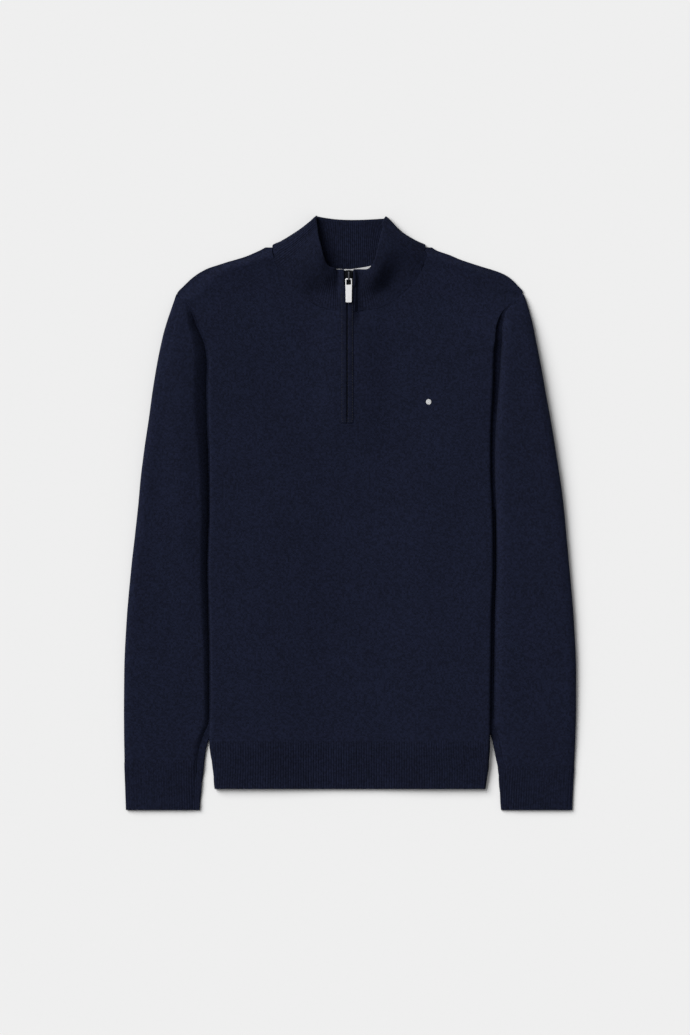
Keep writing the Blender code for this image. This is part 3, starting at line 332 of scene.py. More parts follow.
# how far each edge lies to the side of even: height, right sleeve, right side, left side, left sleeve
layFrom = 60.0   # mm from the middle; nothing nearer to it is moved
lay = [
    (-377, -0.5, -1.2, -0.6, -3.4), (-344, -0.4, -0.9, -0.3, -3.3), (-325, -0.2, 0.2, 0, -3),
    (-307, 0.1, 0.6, -1.8, -2.8), (-288, 0.3, 0.5, -2.8, -2.6), (-248, 0.5, 3.3, -3.6, -2),
    (-187, 0.9, 3.4, -3, -1.9), (-126, 1, 2.2, -2.3, -1.9), (-65, 1.2, 0.9, -0.3, -1.8),
    (-30, 1.8, 1.8, -0.4, -1.6), (5, 2, 2.8, -1.2, -1.2), (57, 1, 2.6, -3.3, -2), (88, 0.4, 2.3, -3.6, -2.2),
    (119, 0.6, 1.4, -3, -2.9), (157, 0.2, 1.4, -1.6, -4.2), (179, 0.1, 2.2, -1.3, -4.4),
    (196, 0, 3.2, -1.4, -4.5), (215, -0.1, 3.4, -3, -4.2), (228, -0.2, 1.6, -5, -3.6), (240, 0.1, -1, -7, -3),
    (252, 0.4, -1.2, -7, -2.4), (262, 0.6, -0.6, -5, -2), (272, 0.8, -0.5, -2.5, -1.8),
    (279, 0, -0.9, -1.6, -1.6), (284, 0, -0.6, 1, 1), (290, 0, -0.3, 1, 1), (297, 0, 0.9, 0.4, 0.4),
    (301, 0, 1, 0.1, 0.1), (305, 0, 0, -0.5, -0.5), (310, -1.3, -2, -3.2, -4), (313, -1.3, -3.7, -4.8, -4),
    (316, -4, -4.6, -3.6, -4), (320, -4, -5.6, -2.7, -4), (324, -4, -4.3, -1.2, -4), (328, -4, -3.2, 1, -4),
    (331, -4, -3.7, -0.2, -4), (335, -1.5, -2.7, -3.6, -4), (345, 0, 0, -2, -2),
]


def asLaid(points):
    x, y = points[:, 0], points[:, 1]
    moved = points.copy()
    for side, sideColumn, sleeveColumn in ((-1, 2, 1), (1, 3, 4)):
        out, half, edge = side * x, outline(y), along(sleeveCut["shape"], 1, y)
        atSide = along(lay, sideColumn, y)
        within = atSide * ease((out - layFrom) / (half - layFrom))
        share = np.clip((out - half) / np.maximum(edge - half, 1.0), 0.0, 1.0)
        beyond = mix(atSide, along(lay, sleeveColumn, y), share)
        moved[:, 0] += np.where(out > 0.0, np.where(out > half, beyond, within), 0.0)
    return moved


def pushOut(points, amount, wrapped=False):  # moves a grid's points along its own normals
    padded = np.concatenate([points[:, -2:-1], points, points[:, 1:2]], axis=1) if wrapped else points
    acrossWay = np.gradient(padded, axis=1)
    upWay = np.gradient(padded, axis=0)
    normal = np.cross(acrossWay, upWay)
    normal /= np.maximum(np.linalg.norm(normal, axis=2, keepdims=True), 1e-9)
    if wrapped:
        normal = normal[:, 1:-1]
    return points + normal * amount[..., None]


def intoScene(name, data):
    made = bpy.data.objects.new(name, data)
    bpy.context.scene.collection.objects.link(made)
    return made


creases = {"cloth": math.radians(75), "metal": math.radians(40)}   # edges this sharp stay crisp


def layCloth(name, points, yarn, material, wall=None, joined=None, cut=None, faceUp=True):
    # points and yarn are grids in mm; a point of NaN is no cloth, cut leaves cells open, and joined
    # says of all rows or of each one that its last point is its first
    there = ~np.isnan(points[..., 0])
    index = np.full(there.shape, -1)
    index[there] = np.arange(there.sum())
    if joined is not None:
        rows = np.broadcast_to(joined, len(points))
        index[rows, -1] = index[rows, 0]
    cells = there[:-1, :-1] & there[:-1, 1:] & there[1:, 1:] & there[1:, :-1]
    if cut is not None:
        cells &= ~cut
    r, c = np.nonzero(cells)
    rings = np.stack([r, r, r + 1, r + 1], 1), np.stack([c, c + 1, c + 1, c], 1)
    if not faceUp:
        rings = rings[0][:, ::-1], rings[1][:, ::-1]
    corners = index[rings]
    used, fresh = np.unique(corners, return_inverse=True)
    places = asLaid(points[there][used]) * mm
    mesh = bpy.data.meshes.new(name)
    faces = fresh.reshape(corners.shape)
    mesh.from_pydata(places.tolist(), [], faces.tolist())
    sides = np.sort(np.stack([faces, np.roll(faces, -1, axis=1)], 2).reshape(-1, 2), axis=1)
    ends, uses = np.unique(sides, axis=0, return_counts=True)
    cutEdges = {tuple(pair) for pair in ends[uses == 1].tolist()}
    layer = mesh.uv_layers.new(name="yarn")
    layer.data.foreach_set("uv", yarn[rings].reshape(-1))
    mesh.materials.append(material)
    mesh.shade_smooth()
    made = intoScene(name, mesh)
    if wall:
        thickness = made.modifiers.new("cloth wall", "SOLIDIFY")
        thickness.thickness = wall * mm
        thickness.offset = 0.0
    mesh.set_sharp_from_angle(angle=creases["cloth"])
    for edge in mesh.edges:   # cut edges stay crisp
        if tuple(sorted(edge.vertices)) in cutEdges:
            edge.use_edge_sharp = True
    return made


def sew(piece, slot, *nodes):
    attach(piece, "garment")
    if nodes:
        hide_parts(*nodes)


bodyCut = {
    "wall": 1.2, "seamGap": 0.3, "tubeAir": 0.9, "backRoll": 1.2,
    "hemBottom": -349.0, "hemTop": -288.2, "underarm": 44.0, "slitBottom": 123.0,
    "rollFull": 190.0, "rollOpen": 230.0, "backOpen": 222.0, "backFade": (206.0, 46.0),
    "frontNeck": 256.5, "shoulder": 279.0, "backNeck": 309.0, "backTip": 338.5, "frontTip": 338.0,
    "frontRamp": 90.0, "backRamp": 55.0,   # how far in a panel starts to climb onto what is under it
    "frontAir": 0.6,                       # share of that height that the front keeps in the middle
    "rampEnd": 10.0, "leastFlap": 3.0,     # the climb ends this far short of the fold; shortest flap
    # beside the left armhole both stand higher: how much, where that starts and ends, how far in
    "stand": (2.2, 110.0, 60.0, 226.0, 30.0, 60.0),
    "shoulderFall": 32.5, "shoulderRun": 2.4, "shoulderSettle": (230.0, 40.0), "shoulderShare": 0.8,
    "neckLift": 2.5, "neckRise": (200.0, 56.0), "neckReach": 150.0, "neckFade": 60.0,
    "zipX": -2.4, "slitHalf": 3.2, "flatHalf": 12.0, "zipLift": 3.0, "zipRise": (70.0, 60.0), "zipFade": 40.0,
    "shape": [  # height, half-width as it lies, half-width that the turned-under side reaches
        (-349, 170.8, 109), (-330, 173.4, 108.6), (-288, 179.3, 108), (-240, 180.4, 106), (-100, 180.6, 103),
        (44, 180.6, 100), (80, 180.8, 124), (120, 181, 150), (160, 181.6, 168), (190, 182.2, 176),
        (206, 183.4, 179), (222, 187, 184), (240, 191.8, 189), (257, 199, 196), (268, 207.5, 204),
        (279, 219.5, 216), (290, 211, 208), (300, 201.6, 198), (310, 183, 180), (318, 157, 154),
        (326, 132, 129), (334, 113.5, 110), (342, 101.5, 99.5),
    ],
    "frontNeckline": [  # height, half-width of the opening
        (256.5, 0), (259, 23), (262.5, 38.5), (269, 51.5), (279, 64.5), (291, 77.5), (305, 87.5), (321, 94.8),
        (338, 97.6),
    ],
    "backNeckline": [(309.0, 0.0), (311.0, 20.0), (316.0, 44.0), (323.0, 64.5), (331.0, 80.5), (341.0, 96.0)],
    "folds": [  # soft creases on the front: from, to, width, height
        (-150, 205, -60, 236, 46, 0.5), (60, 226, 168, 176, 52, 0.5), (-118, -40, -40, -170, 60, 0.45),
        (20, -60, 120, -10, 64, 0.4), (-60, -210, 70, -238, 44, 0.35),
    ],
}
neckHollow = (-36.0, 336.0, -8.0, 250.0, 44.0, -4.5)   # right of the zip; front and collar share it
hollowStart = {"away": 7.0, "run": 9.0}                # it sets in this far from the zip
stepDown = {   # left of the zip
    "deep": 3.6, "from": 4.5, "run": 4.5, "back": (9.0, 30.0), "starts": (236.0, 20.0), "ends": (292.0, 22.0),
}
pitch = bodyCut["wall"] + bodyCut["seamGap"]
frontRoll = bodyCut["backRoll"] + pitch
sleeveStack = bodyCut["wall"] + bodyCut["tubeAir"] + pitch
flapStack = pitch + 2 * bodyCut["backRoll"]


def outline(y):
    return along(bodyCut["shape"], 1, y)


def rollTurn(y, opened):
    start = bodyCut["rollFull"]
    return np.pi * (1.0 - ease((y - start) / (opened - start)))


def rollCentre(y):
    return outline(y) - frontRoll * np.sin(np.minimum(rollTurn(y, bodyCut["rollOpen"]), np.pi / 2))


def sideLift(x, y, ramp):
    under = ease((y - bodyCut["hemBottom"]) / (bodyCut["hemTop"] - bodyCut["hemBottom"]))
    end = np.minimum(along(bodyCut["shape"], 2, y), rollCentre(y) - bodyCut["rampEnd"])
    return (sleeveStack * under + flapStack) * ease((x - end + ramp) / ramp)


def shoulderDrop(x, y):
    low = outline(bodyCut["shoulder"]) + bodyCut["shoulderRun"] * (bodyCut["shoulder"] - y)
    edge = np.where(y < bodyCut["shoulder"], low, outline(y))
    return ease((edge - x) / bodyCut["shoulderFall"])


def armholeStand(x, y, side):
    tall, starts, rise, ends, fall, reach = bodyCut["stand"]
    tall = (tall if side > 0 else 0.0) * settle(y, (starts, rise)) * (1.0 - settle(y, (ends, fall)))
    return tall * ease((x - outline(y) + reach) / reach)


def frontHeight(x, y, side):
    neck = bodyCut["neckLift"] * settle(y, bodyCut["neckRise"])
    neck = neck * ease((bodyCut["neckReach"] - x) / bodyCut["neckFade"])
    full = sideLift(1000.0, y, 1.0)
    beside = mix(sideLift(x, y, bodyCut["frontRamp"]), full, bodyCut["frontAir"])
    beside = beside * mix(1.0, bodyCut["shoulderShare"], settle(y, bodyCut["shoulderSettle"]))
    beside = beside + armholeStand(x, y, side)
    lift = (beside ** 4 + neck ** 4) ** 0.25 * shoulderDrop(x, y)
    away = np.abs(side * x - bodyCut["zipX"])
    zipRise = bodyCut["zipLift"] * (1.0 - ease((away - bodyCut["flatHalf"]) / bodyCut["zipFade"]))
    return bodyCut["wall"] / 2 + pitch + lift + zipRise * settle(y, bodyCut["zipRise"])


def backHeight(x, y, side):
    lift = sideLift(x, y, bodyCut["backRamp"]) * (1.0 - settle(y, bodyCut["backFade"]))
    return bodyCut["wall"] / 2 + lift + armholeStand(x, y, side)


frontLayer = {
    "height": frontHeight, "roll": frontRoll, "opened": bodyCut["rollOpen"], "neckline": "frontNeckline",
    "neck": bodyCut["frontNeck"], "closedTo": bodyCut["slitBottom"],
}
backLayer = {
    "height": backHeight, "roll": bodyCut["backRoll"], "opened": bodyCut["backOpen"],
    "neckline": "backNeckline", "neck": bodyCut["backNeck"], "closedTo": bodyCut["backNeck"],
}


def besideZip(x, y):
    right = softFolds(x, y, [neckHollow])
    right = right * ease((bodyCut["zipX"] - x - hollowStart["away"]) / hollowStart["run"])
    left = ease((x - stepDown["from"]) / stepDown["run"]) * (1.0 - settle(x, stepDown["back"]))
    left = stepDown["deep"] * left * settle(y, stepDown["starts"]) * (1.0 - settle(y, stepDown["ends"]))
    return right - left


def panelHalf(y, side, layer, counts, slitHalf):
    # from the middle out: flat part, side roll, turned-under flap
    flatCount, rollCount, flapCount = counts
    turn = float(rollTurn(y, layer["opened"]))
    inner = side * bodyCut["zipX"] + slitHalf
    if y > layer["neck"]:
        inner = max(inner, float(along(bodyCut[layer["neckline"]], 1, y)))
    end = float(rollCentre(y))
    x = mix(inner, end, np.linspace(0.0, 1.0, flatCount))
    z = layer["height"](x, y, side)
    if layer is frontLayer:
        z = z + softFolds(side * x, y, bodyCut["folds"]) + besideZip(side * x, y)
    top = float(z[-1])
    angle = turn * np.arange(1, rollCount + 1) / rollCount
    rollX = end + layer["roll"] * np.sin(angle)
    rollZ = top - layer["roll"] + layer["roll"] * np.cos(angle)
    if turn < 0.03:
        rollX = np.full(rollCount, np.nan)
    seam = min(float(along(bodyCut["shape"], 2, y)), end - bodyCut["leastFlap"])
    flapX = mix(end, seam, np.arange(1, flapCount + 1) / flapCount)
    if y > bodyCut["rollFull"]:
        flapX = np.full(flapCount, np.nan)
    flapZ = np.full(flapCount, top - 2 * layer["roll"])
    xs = np.concatenate([x, rollX, flapX])
    row = np.stack([side * xs, np.full(len(xs), y), np.concatenate([z, rollZ, flapZ])], 1)
    yarn = np.stack([side * (inner + runLength(row)), np.full(len(xs), y)], 1)
    return row, yarn


def panelGrid(layer, heights, counts, slitHalf=bodyCut["slitHalf"]):
    points, yarns = [], []
    for y in heights:
        left, leftYarn = panelHalf(float(y), 1, layer, counts, slitHalf)
        right, rightYarn = panelHalf(float(y), -1, layer, counts, slitHalf)
        points.append(np.concatenate([right[::-1], left]))
        yarns.append(np.concatenate([rightYarn[::-1], leftYarn]))
    points, yarns = np.array(points), np.array(yarns)
    middle = points.shape[1] // 2 - 1
    cut = np.zeros((len(heights) - 1, points.shape[1] - 1), bool)
    cut[:, middle] = np.array(heights[1:]) > layer["closedTo"]
    return points, yarns, cut


def rowHeights(*stretches):  # each stretch is its bottom, its top and the step between rows
    rows = []
    for low, high, step in stretches:
        rows.append(np.linspace(low, high, max(2, round((high - low) / step) + 1))[:-1])
    return np.concatenate(rows + [[stretches[-1][1]]])


hemTop, slitBottom, rollFull = bodyCut["hemTop"], bodyCut["slitBottom"], bodyCut["rollFull"]
frontNeck, backNeck = bodyCut["frontNeck"], bodyCut["backNeck"]
frontRows = rowHeights(
    (hemTop, 100.0, 4.2), (100.0, slitBottom, 2.5), (slitBottom, rollFull, 3.2),
    (rollFull, frontNeck, 2.1), (frontNeck, 262.5, 0.6), (262.5, bodyCut["frontTip"], 2.0),
)
points, yarns, cut = panelGrid(frontLayer, frontRows, (72, 9, 12))
frontPanel = layCloth("front_knit", points, yarns, jerseyNavy, bodyCut["wall"], cut=cut)
sew(frontPanel, "navy_knit", "front_panel")

backRows = rowHeights((hemTop, rollFull, 8.0), (rollFull, backNeck, 3.5), (backNeck, bodyCut["backTip"], 1.8))
points, yarns, cut = panelGrid(backLayer, backRows, (40, 8, 10))
backPanel = layCloth("back_knit", points, yarns, jerseyNavy, bodyCut["wall"], cut=cut)
sew(backPanel, "navy_knit", "back_panel")
print("body laid")


# mm; a 1x1 rib, drawn as wide as two of its wales, which fades out beside the seam and draws it in
bandRib = {"pitch": 3.2, "depth": 0.42, "fade": 5.0, "pull": 0.5}


def ribHeight(u, rib):  # round ridges with narrow troughs between them
    return rib["depth"] * (2.0 * np.abs(np.cos(np.pi * u / rib["pitch"])) ** 0.8 - 1.0)


def hemBand(name, layer, counts, node):
    heights = rowHeights((bodyCut["hemBottom"], hemTop, 4.4))
    points, yarns, cut = panelGrid(layer, heights, counts, slitHalf=0.2)
    near = 1.0 - ease((hemTop - points[..., 1]) / bandRib["fade"])
    relief = ribHeight(yarns[..., 0], bandRib) * (1.0 - near) - bandRib["pull"] * near * (1 - near) * 2
    points = pushOut(points, relief)
    points[..., 2] = np.maximum(points[..., 2], bodyCut["wall"] / 2)   # pressed flat on the table
    made = layCloth(name, points, yarns, ribNavyShaded, bodyCut["wall"], cut=cut)
    sew(made, "navy_rib", node)
    return made


hemFront = hemBand("hem_front_rib", frontLayer, (260, 12, 70), "hem_rib_front")
hemBack = hemBand("hem_back_rib", backLayer, (180, 8, 50), "hem_rib_back")
print("hem ribbed")


def sleeveInner(y, side):
    beneath = bodyCut["wall"] * 1.5 + bodyCut["tubeAir"]
    if y < bodyCut["rollFull"]:
        return float(along(sleeveCut["shape"], 2 if side > 0 else 3, y)), beneath
    turn = float(rollTurn(y, bodyCut["rollOpen"]))
    top = float(frontHeight(rollCentre(y), y, side))
    height = top - frontRoll + frontRoll * math.cos(turn)
    deep, start, length = sleeveCut["dip"]
    over, under = sleeveCut["tuck"]
    over *= 1.0 - float(settle(y, sleeveCut["over"]))
    under *= 1.0 - float(settle(y, sleeveCut["under"]))
    height -= under + deep * (1.0 - float(ease((y - start) / length)))
    blend = float(ease((y - rollFull) / sleeveCut["seamBlend"]))
    return float(outline(y)) + bodyCut["seamGap"] / 2 - over, mix(beneath, max(height, beneath), blend)


def sleeveRow(y, side, counts):
    # round the tube: lower layer, outer fold, crown, the dip beside the body, inner fold
    lowCount, noseCount, crownCount, tailCount, foldCount = counts
    outer, crown = float(along(sleeveCut["shape"], 1, y)), float(along(sleeveCut["shape"], 4, y))
    inner, innerZ = sleeveInner(y, side)
    width = outer - inner
    nose = min(sleeveCut["nose"], sleeveCut["noseShare"] * width)
    start, low = outer - nose, bodyCut["wall"] / 2
    parts = [np.stack([np.linspace(inner, start, lowCount), np.full(lowCount, low)], 1)]
    angle = np.pi * (np.arange(1, noseCount) / noseCount - 0.5)
    half = (crown - low) / 2
    parts.append(np.stack([start + nose * np.cos(angle), low + half + half * np.sin(angle)], 1))
    reach = float(along(sleeveCut["trough"], 1 if side > 0 else 2, y))
    deep, ends, fade = sleeveCut["sink"]
    sink = deep * (1.0 - float(ease((y - ends) / fade)))
    if y >= bodyCut["rollFull"]:
        foot, footZ = min(float(outline(y)) + reach, start - 1.0), innerZ - sink
        tail = [(foot, footZ), (inner, innerZ)]
    elif inner < float(outline(y)) - sleeveCut["underFold"]:
        foot, footZ = float(outline(y)) + reach, innerZ - sink
        tail = [(foot, footZ), (float(outline(y)) - sleeveCut["rest"], innerZ), (inner, innerZ)]
    else:
        foot, footZ = inner + sleeveCut["bareFoot"], mix(innerZ, crown, 0.12)
        tail = [(foot, footZ), (inner + sleeveCut["rest"], mix(innerZ, crown, 0.04)), (inner, innerZ)]
    steep = float(along(sleeveCut["trough"], 3 if side > 0 else 4, y))
    t = np.sin(np.linspace(0.0, np.pi / 2, crownCount))   # closest together where the slope is steepest
    if side > 0:
        rise = 1.0 - t ** steep
    else:   # the slope is straight, with a soft shoulder where the crown begins
        rise = 1.0 - np.maximum(1.0 - (foot - start) * (t - 1.0) / steep, 0.0) ** sleeveCut["shoulder"]
    parts.append(np.stack([mix(start, foot, t), mix(footZ, crown, rise)], 1))
    tail = np.array(tail)
    run = runLength(tail) / max(runLength(tail)[-1], 1e-6)
    t = np.arange(1, tailCount + 1) / tailCount
    parts.append(np.stack([np.interp(t, run, tail[:, 0]), np.interp(t, run, tail[:, 1])], 1))
    if y <= bodyCut["underarm"]:
        angle = np.pi * np.arange(1, foldCount + 1) / foldCount
        middle, radius = (innerZ + low) / 2, (innerZ - low) / 2
        foldX = inner - sleeveCut["foldRound"] * radius * np.sin(angle)
        parts.append(np.stack([foldX, middle + radius * np.cos(angle)], 1))
    else:
        parts.append(np.full((foldCount, 2), np.nan))
    flat = np.concatenate(parts)
    upper = lowCount + noseCount - 1
    lift = softFolds(side * flat[:, 0], y, sleeveCut["folds"][side])
    shade = np.zeros(len(flat))
    shade[upper:upper + crownCount] = np.sin(np.pi * np.linspace(0.0, 1.0, crownCount)) ** 0.25
    flat[:, 1] += lift * shade
    row = np.stack([side * flat[:, 0], np.full(len(flat), y), flat[:, 1]], 1)
    length = runLength(row)
    yarn = np.stack([side * (length - length[lowCount + noseCount // 2]), np.full(len(flat), y)], 1)
    return row, yarn


def sleeveGrid(side, counts, *stretches):
    rows = [sleeveRow(float(y), side, counts) for y in rowHeights(*stretches)]
    return np.array([r[0] for r in rows]), np.array([r[1] for r in rows])


def knitSleeve(side, word):
    seam = sleeveCut["cuffSeam"][side]
    laid = {"wall": bodyCut["wall"], "faceUp": side < 0}
    stretches = (seam, seam + 40.0, 3.0), (seam + 40.0, rollFull, 5.0), (rollFull, 278.8, 2.2)
    points, yarns = sleeveGrid(side, (22, 12, 46, 12, 4), *stretches)
    joined = ~np.isnan(points[:, -1, 0])
    sleeve = layCloth(f"sleeve_{word}_knit", points, yarns, jerseyNavy, joined=joined, **laid)
    sew(sleeve, "navy_knit", f"sleeve_{word}")
    points, yarns = sleeveGrid(side, (110, 26, 100, 10, 6), (sleeveCut["cuffBottom"], seam, 4.6))
    near = 1.0 - ease((seam - points[..., 1]) / bandRib["fade"])
    points = pushOut(points, ribHeight(yarns[..., 0], bandRib) * (1.0 - near) * -side, wrapped=True)
    points[..., 2] = np.maximum(points[..., 2], bodyCut["wall"] / 2)
    cuff = layCloth(f"cuff_{word}_rib", points, yarns, ribNavyShaded, joined=True, **laid)
    sew(cuff, "navy_rib", f"cuff_{word}")


knitSleeve(1, "left")
knitSleeve(-1, "right")
print("sleeves laid")


collarCut = {
    "wall": 2.2, "gap": 0.25, "turnOut": 0.16, "top": 309.3, "tall": 60.0, "slitHalf": 6.0,
    "hps": 4.4, "backMiddle": 372.3, "backEnd": {1: 374.2, -1: 377.0},
    "bulge": {1: (3.0, 0.5), -1: (-1.3, 0.35)},   # how far the side folds swell at the top, from how high
    "foot": {1: 1.2, -1: 1.6}, "footTop": 0.16,   # how far they swell at the seam, and up to where
    # neckline height; the top edge: left x, y, right x, y, left z, right z; left bow, right bow;
    # share left and right that stands up steeply
    "edge": [
        (256.5, 1.4, 309.3, 10.6, 309.3, 13, 13, 0.8, 0.8, 0, 0),
        (259, 15, 309, 21, 311, 17, 17, 0.3, 0.5, 0.6, 0.3),
        (262.5, 22.5, 309.6, 27, 312.8, 22, 19.5, 0, 0.6, 1, 1),
        (269, 28.2, 315.6, 31.2, 316.8, 24, 21, 0, 1, 1, 1),
        (279, 33, 328, 34.6, 325.5, 22, 22.5, 0.4, 2.6, 0.9, 0.5),
        (291, 35.6, 340, 37.8, 338, 19, 21, 1.4, 4, 0.8, 0.15),
        (305, 38.4, 352, 41.2, 351, 15.5, 18, 3.4, 4, 0.5, 0),
        (321, 41.4, 363.2, 42.8, 364, 11.5, 12.5, 4.6, 3.4, 0.2, 0),
        (338, 43, 373.4, 43.4, 375.8, 7.6, 8.2, 2.4, 1.6, 0, 0),
    ],
    "stand": {1: (0.3, 0.84), -1: (0.22, 0.82)},   # where up its height the steep stretch begins and ends
    "waist": {1: 3.4, -1: 2.0},     # the side folds draw in this much between seam and top
    "drawn": (285.0, 53.0),         # where up the neckline that sets in
    "rib": {"pitch": 2.54, "depth": 0.34},
    "seamThin": (0.62, 9.0),        # the two layers are linked flat at the seam, over this height
    # the ribs are pressed flat by this share, from and to these shares of the way round, over these runs
    "pressed": (0.85, 0.5, 0.08, 0.8, 0.12),
    "ribStart": 4.0, "ribEnd": 2.5,   # they fade in above the seam and out below the top
    "steps": 22,
}
edgeColumns = {1: (1, 2, 5, 7, 9), -1: (3, 4, 6, 8, 10)}   # x, y, z, bow and steep share of each side


def bow(height, v):
    return height * np.sin(np.pi * v ** 1.3)


def collarColumn(base, top, bowHeight, steep=0.0, drawn=0.0):
    v = np.linspace(0.0, 1.0, collarCut["steps"])
    points = mix(np.array(base)[None, :], np.array(top)[None, :], v[:, None])
    across, up = top[0] - base[0], top[1] - base[1]
    side = 1 if top[0] > 0 else -1
    inward = drawn * collarCut["waist"][side] * np.sin(np.pi * v) / math.hypot(across, up)
    points[:, 0] -= inward * up * side
    points[:, 1] -= inward * abs(across)
    low, high = collarCut["stand"][side]
    rise = mix(v, ease((v - low) / (high - low)), steep)
    points[:, 2] = mix(base[2], top[2], rise) + bow(bowHeight, v)
    return points


def insideEdge(seam):  # a neckline's points, moved up into its opening by the seam's gap
    moved = []
    for k in range(len(seam)):
        before, after = seam[max(k - 1, 0)], seam[min(k + 1, len(seam) - 1)]
        along2 = Vector((after[0] - before[0], after[1] - before[1])).normalized()
        moved.append((seam[k][0] - collarCut["gap"] * along2.y, seam[k][1] + collarCut["gap"] * along2.x))
    return moved


def zipHeight(y):  # centre height of the cloth along the zip
    low = frontHeight(4.6, np.minimum(y, frontNeck), -1)
    base, first = frontNeck + collarCut["gap"], collarCut["edge"][0]
    v = np.clip((y - base) / (collarCut["top"] - base), 0.0, 1.0)
    return np.where(y <= frontNeck, low, mix(low, first[5], v) + bow(first[7], v))


def collarFront(side):
    first, second = collarCut["edge"][0], bodyCut["frontNeckline"][1]
    low, top, gap = float(zipHeight(frontNeck)), collarCut["top"], collarCut["gap"]
    slitX, flatX = side * bodyCut["zipX"] + bodyCut["slitHalf"], side * bodyCut["zipX"] + bodyCut["flatHalf"]
    flatY = mix(frontNeck, second[0], (flatX - slitX) / (second[1] - slitX))
    slitTop = side * (side * bodyCut["zipX"] + collarCut["slitHalf"])
    ends = [
        ((side * slitX, frontNeck + gap, low), (slitTop, top, first[5])),
        ((side * flatX, flatY + gap, low), (side * (flatX + 2.0), top, first[5])),
    ]
    columns = [collarColumn(base, edge, first[7], first[9]) for base, edge in ends]
    neck = bodyCut["frontNeckline"][1:]
    seam = insideEdge([(slitX, frontNeck)] + [(row[1], row[0]) for row in neck])[1:]
    for row, (baseX, baseY), edge in zip(neck, seam, collarCut["edge"][1:]):
        x, y, z, bend, steep = [edge[k] for k in edgeColumns[side]]
        height = max(float(frontHeight(row[1], row[0], side)), collarCut["hps"])
        drawn = float(settle(row[0], collarCut["drawn"]))
        columns.append(collarColumn((side * baseX, baseY, height), (side * x, y, z), bend, steep, drawn))
    return columns


def collarBack(side):
    stations = insideEdge([(row[1], row[0]) for row in bodyCut["backNeckline"]])[::-1]
    reach, corner, low = stations[0][0], collarCut["edge"][-1][1], collarCut["wall"] / 2
    columns = []
    for half, y in stations:
        share = half / reach
        topShare = 1.0 - (1.0 - share) ** (reach / corner)   # the ribs run straight up in the middle
        top = mix(collarCut["backMiddle"], collarCut["backEnd"][side], topShare ** 2)
        base, edge = (side * half, y, low), (side * corner * topShare, top, low)
        columns.append(collarColumn(base, edge, 0.0, 0.0, share ** 3))
    return columns


def collarTurn(front, back):
    direction = Vector(front[-1] - front[0])
    out = Vector((abs(direction.y), abs(direction.x), 0.0)).normalized()
    side = 1 if front[0][0] > 0 else -1
    out.x *= side
    far, start = collarCut["bulge"][side]
    v = np.linspace(0.0, 1.0, collarCut["steps"])
    swell = far * ease((v - start) / (1.0 - start))
    swell = swell + collarCut["foot"][side] * (1.0 - ease(v / collarCut["footTop"]))
    columns = []
    for angle in np.pi * np.arange(1, 6) / 6:
        radius = np.abs(front[:, 2] - back[:, 2]) / 2
        column = mix(front, back, (1 - math.cos(angle)) / 2)
        column[:, 2] = (front[:, 2] + back[:, 2]) / 2 + radius * math.cos(angle)
        reach = (collarCut["turnOut"] * radius + swell) * math.sin(angle)
        columns.append(column + np.array(out)[None, :] * reach[:, None])
    return columns


def smoothRun(columns, spacing):
    # fills in columns between the given ones on one smooth curve, as far apart as asked
    middle = np.array([c[len(c) // 2] for c in columns])
    run = np.concatenate([[0.0], np.cumsum(np.linalg.norm(np.diff(middle, axis=0), axis=1))])
    stack = np.array(columns)
    count = int(run[-1] / spacing) + 1
    wanted = np.linspace(0.0, run[-1], count)
    i = np.clip(np.searchsorted(run, wanted, side="right") - 1, 0, len(run) - 2)
    gap = run[i + 1] - run[i]
    t = ((wanted - run[i]) / gap)[:, None, None]
    slope = np.gradient(stack, run, axis=0)
    a, b = stack[i], stack[i + 1]
    da, db = slope[i] * gap[:, None, None], slope[i + 1] * gap[:, None, None]
    near = (1 + 2 * t) * (1 - t) ** 2 * a + t * (1 - t) ** 2 * da
    return near + t * t * (3 - 2 * t) * b + t * t * (t - 1) * db, wanted


halves = {}
for side in (-1, 1):
    front, back = collarFront(side), collarBack(side)
    halves[side] = front + collarTurn(front[-1], back[0]) + back
grid, run = smoothRun(halves[-1] + halves[1][::-1][1:], 0.35)
tall = collarCut["tall"]
v = np.linspace(0.0, tall, collarCut["steps"])
yarns = np.stack([np.repeat(run[:, None], len(v), 1), np.repeat(v[None, :], len(run), 0)], 2)
outer = np.abs(run - run[-1] / 2) > run[-1] * 0.25   # the two fronts of the collar
grid[outer, :, 2] += besideZip(grid[outer, :, 0], grid[outer, :, 1])
relief = ribHeight(yarns[..., 0], collarCut["rib"])
# the ribs stand out on the back and beside the zip, and are pressed flat on the shoulders
stretchOut = np.abs(run - run[-1] / 2) / (run[-1] / 2)
much, begins, over, ends, until = collarCut["pressed"]
show = 1.0 - much * settle(stretchOut, (begins, over)) * (1.0 - settle(stretchOut, (ends, until)))
fade = ease(yarns[..., 1] / collarCut["ribStart"]) * ease((tall - yarns[..., 1]) / collarCut["ribEnd"])
fade = fade * show[:, None]
least, thinTop = collarCut["seamThin"]
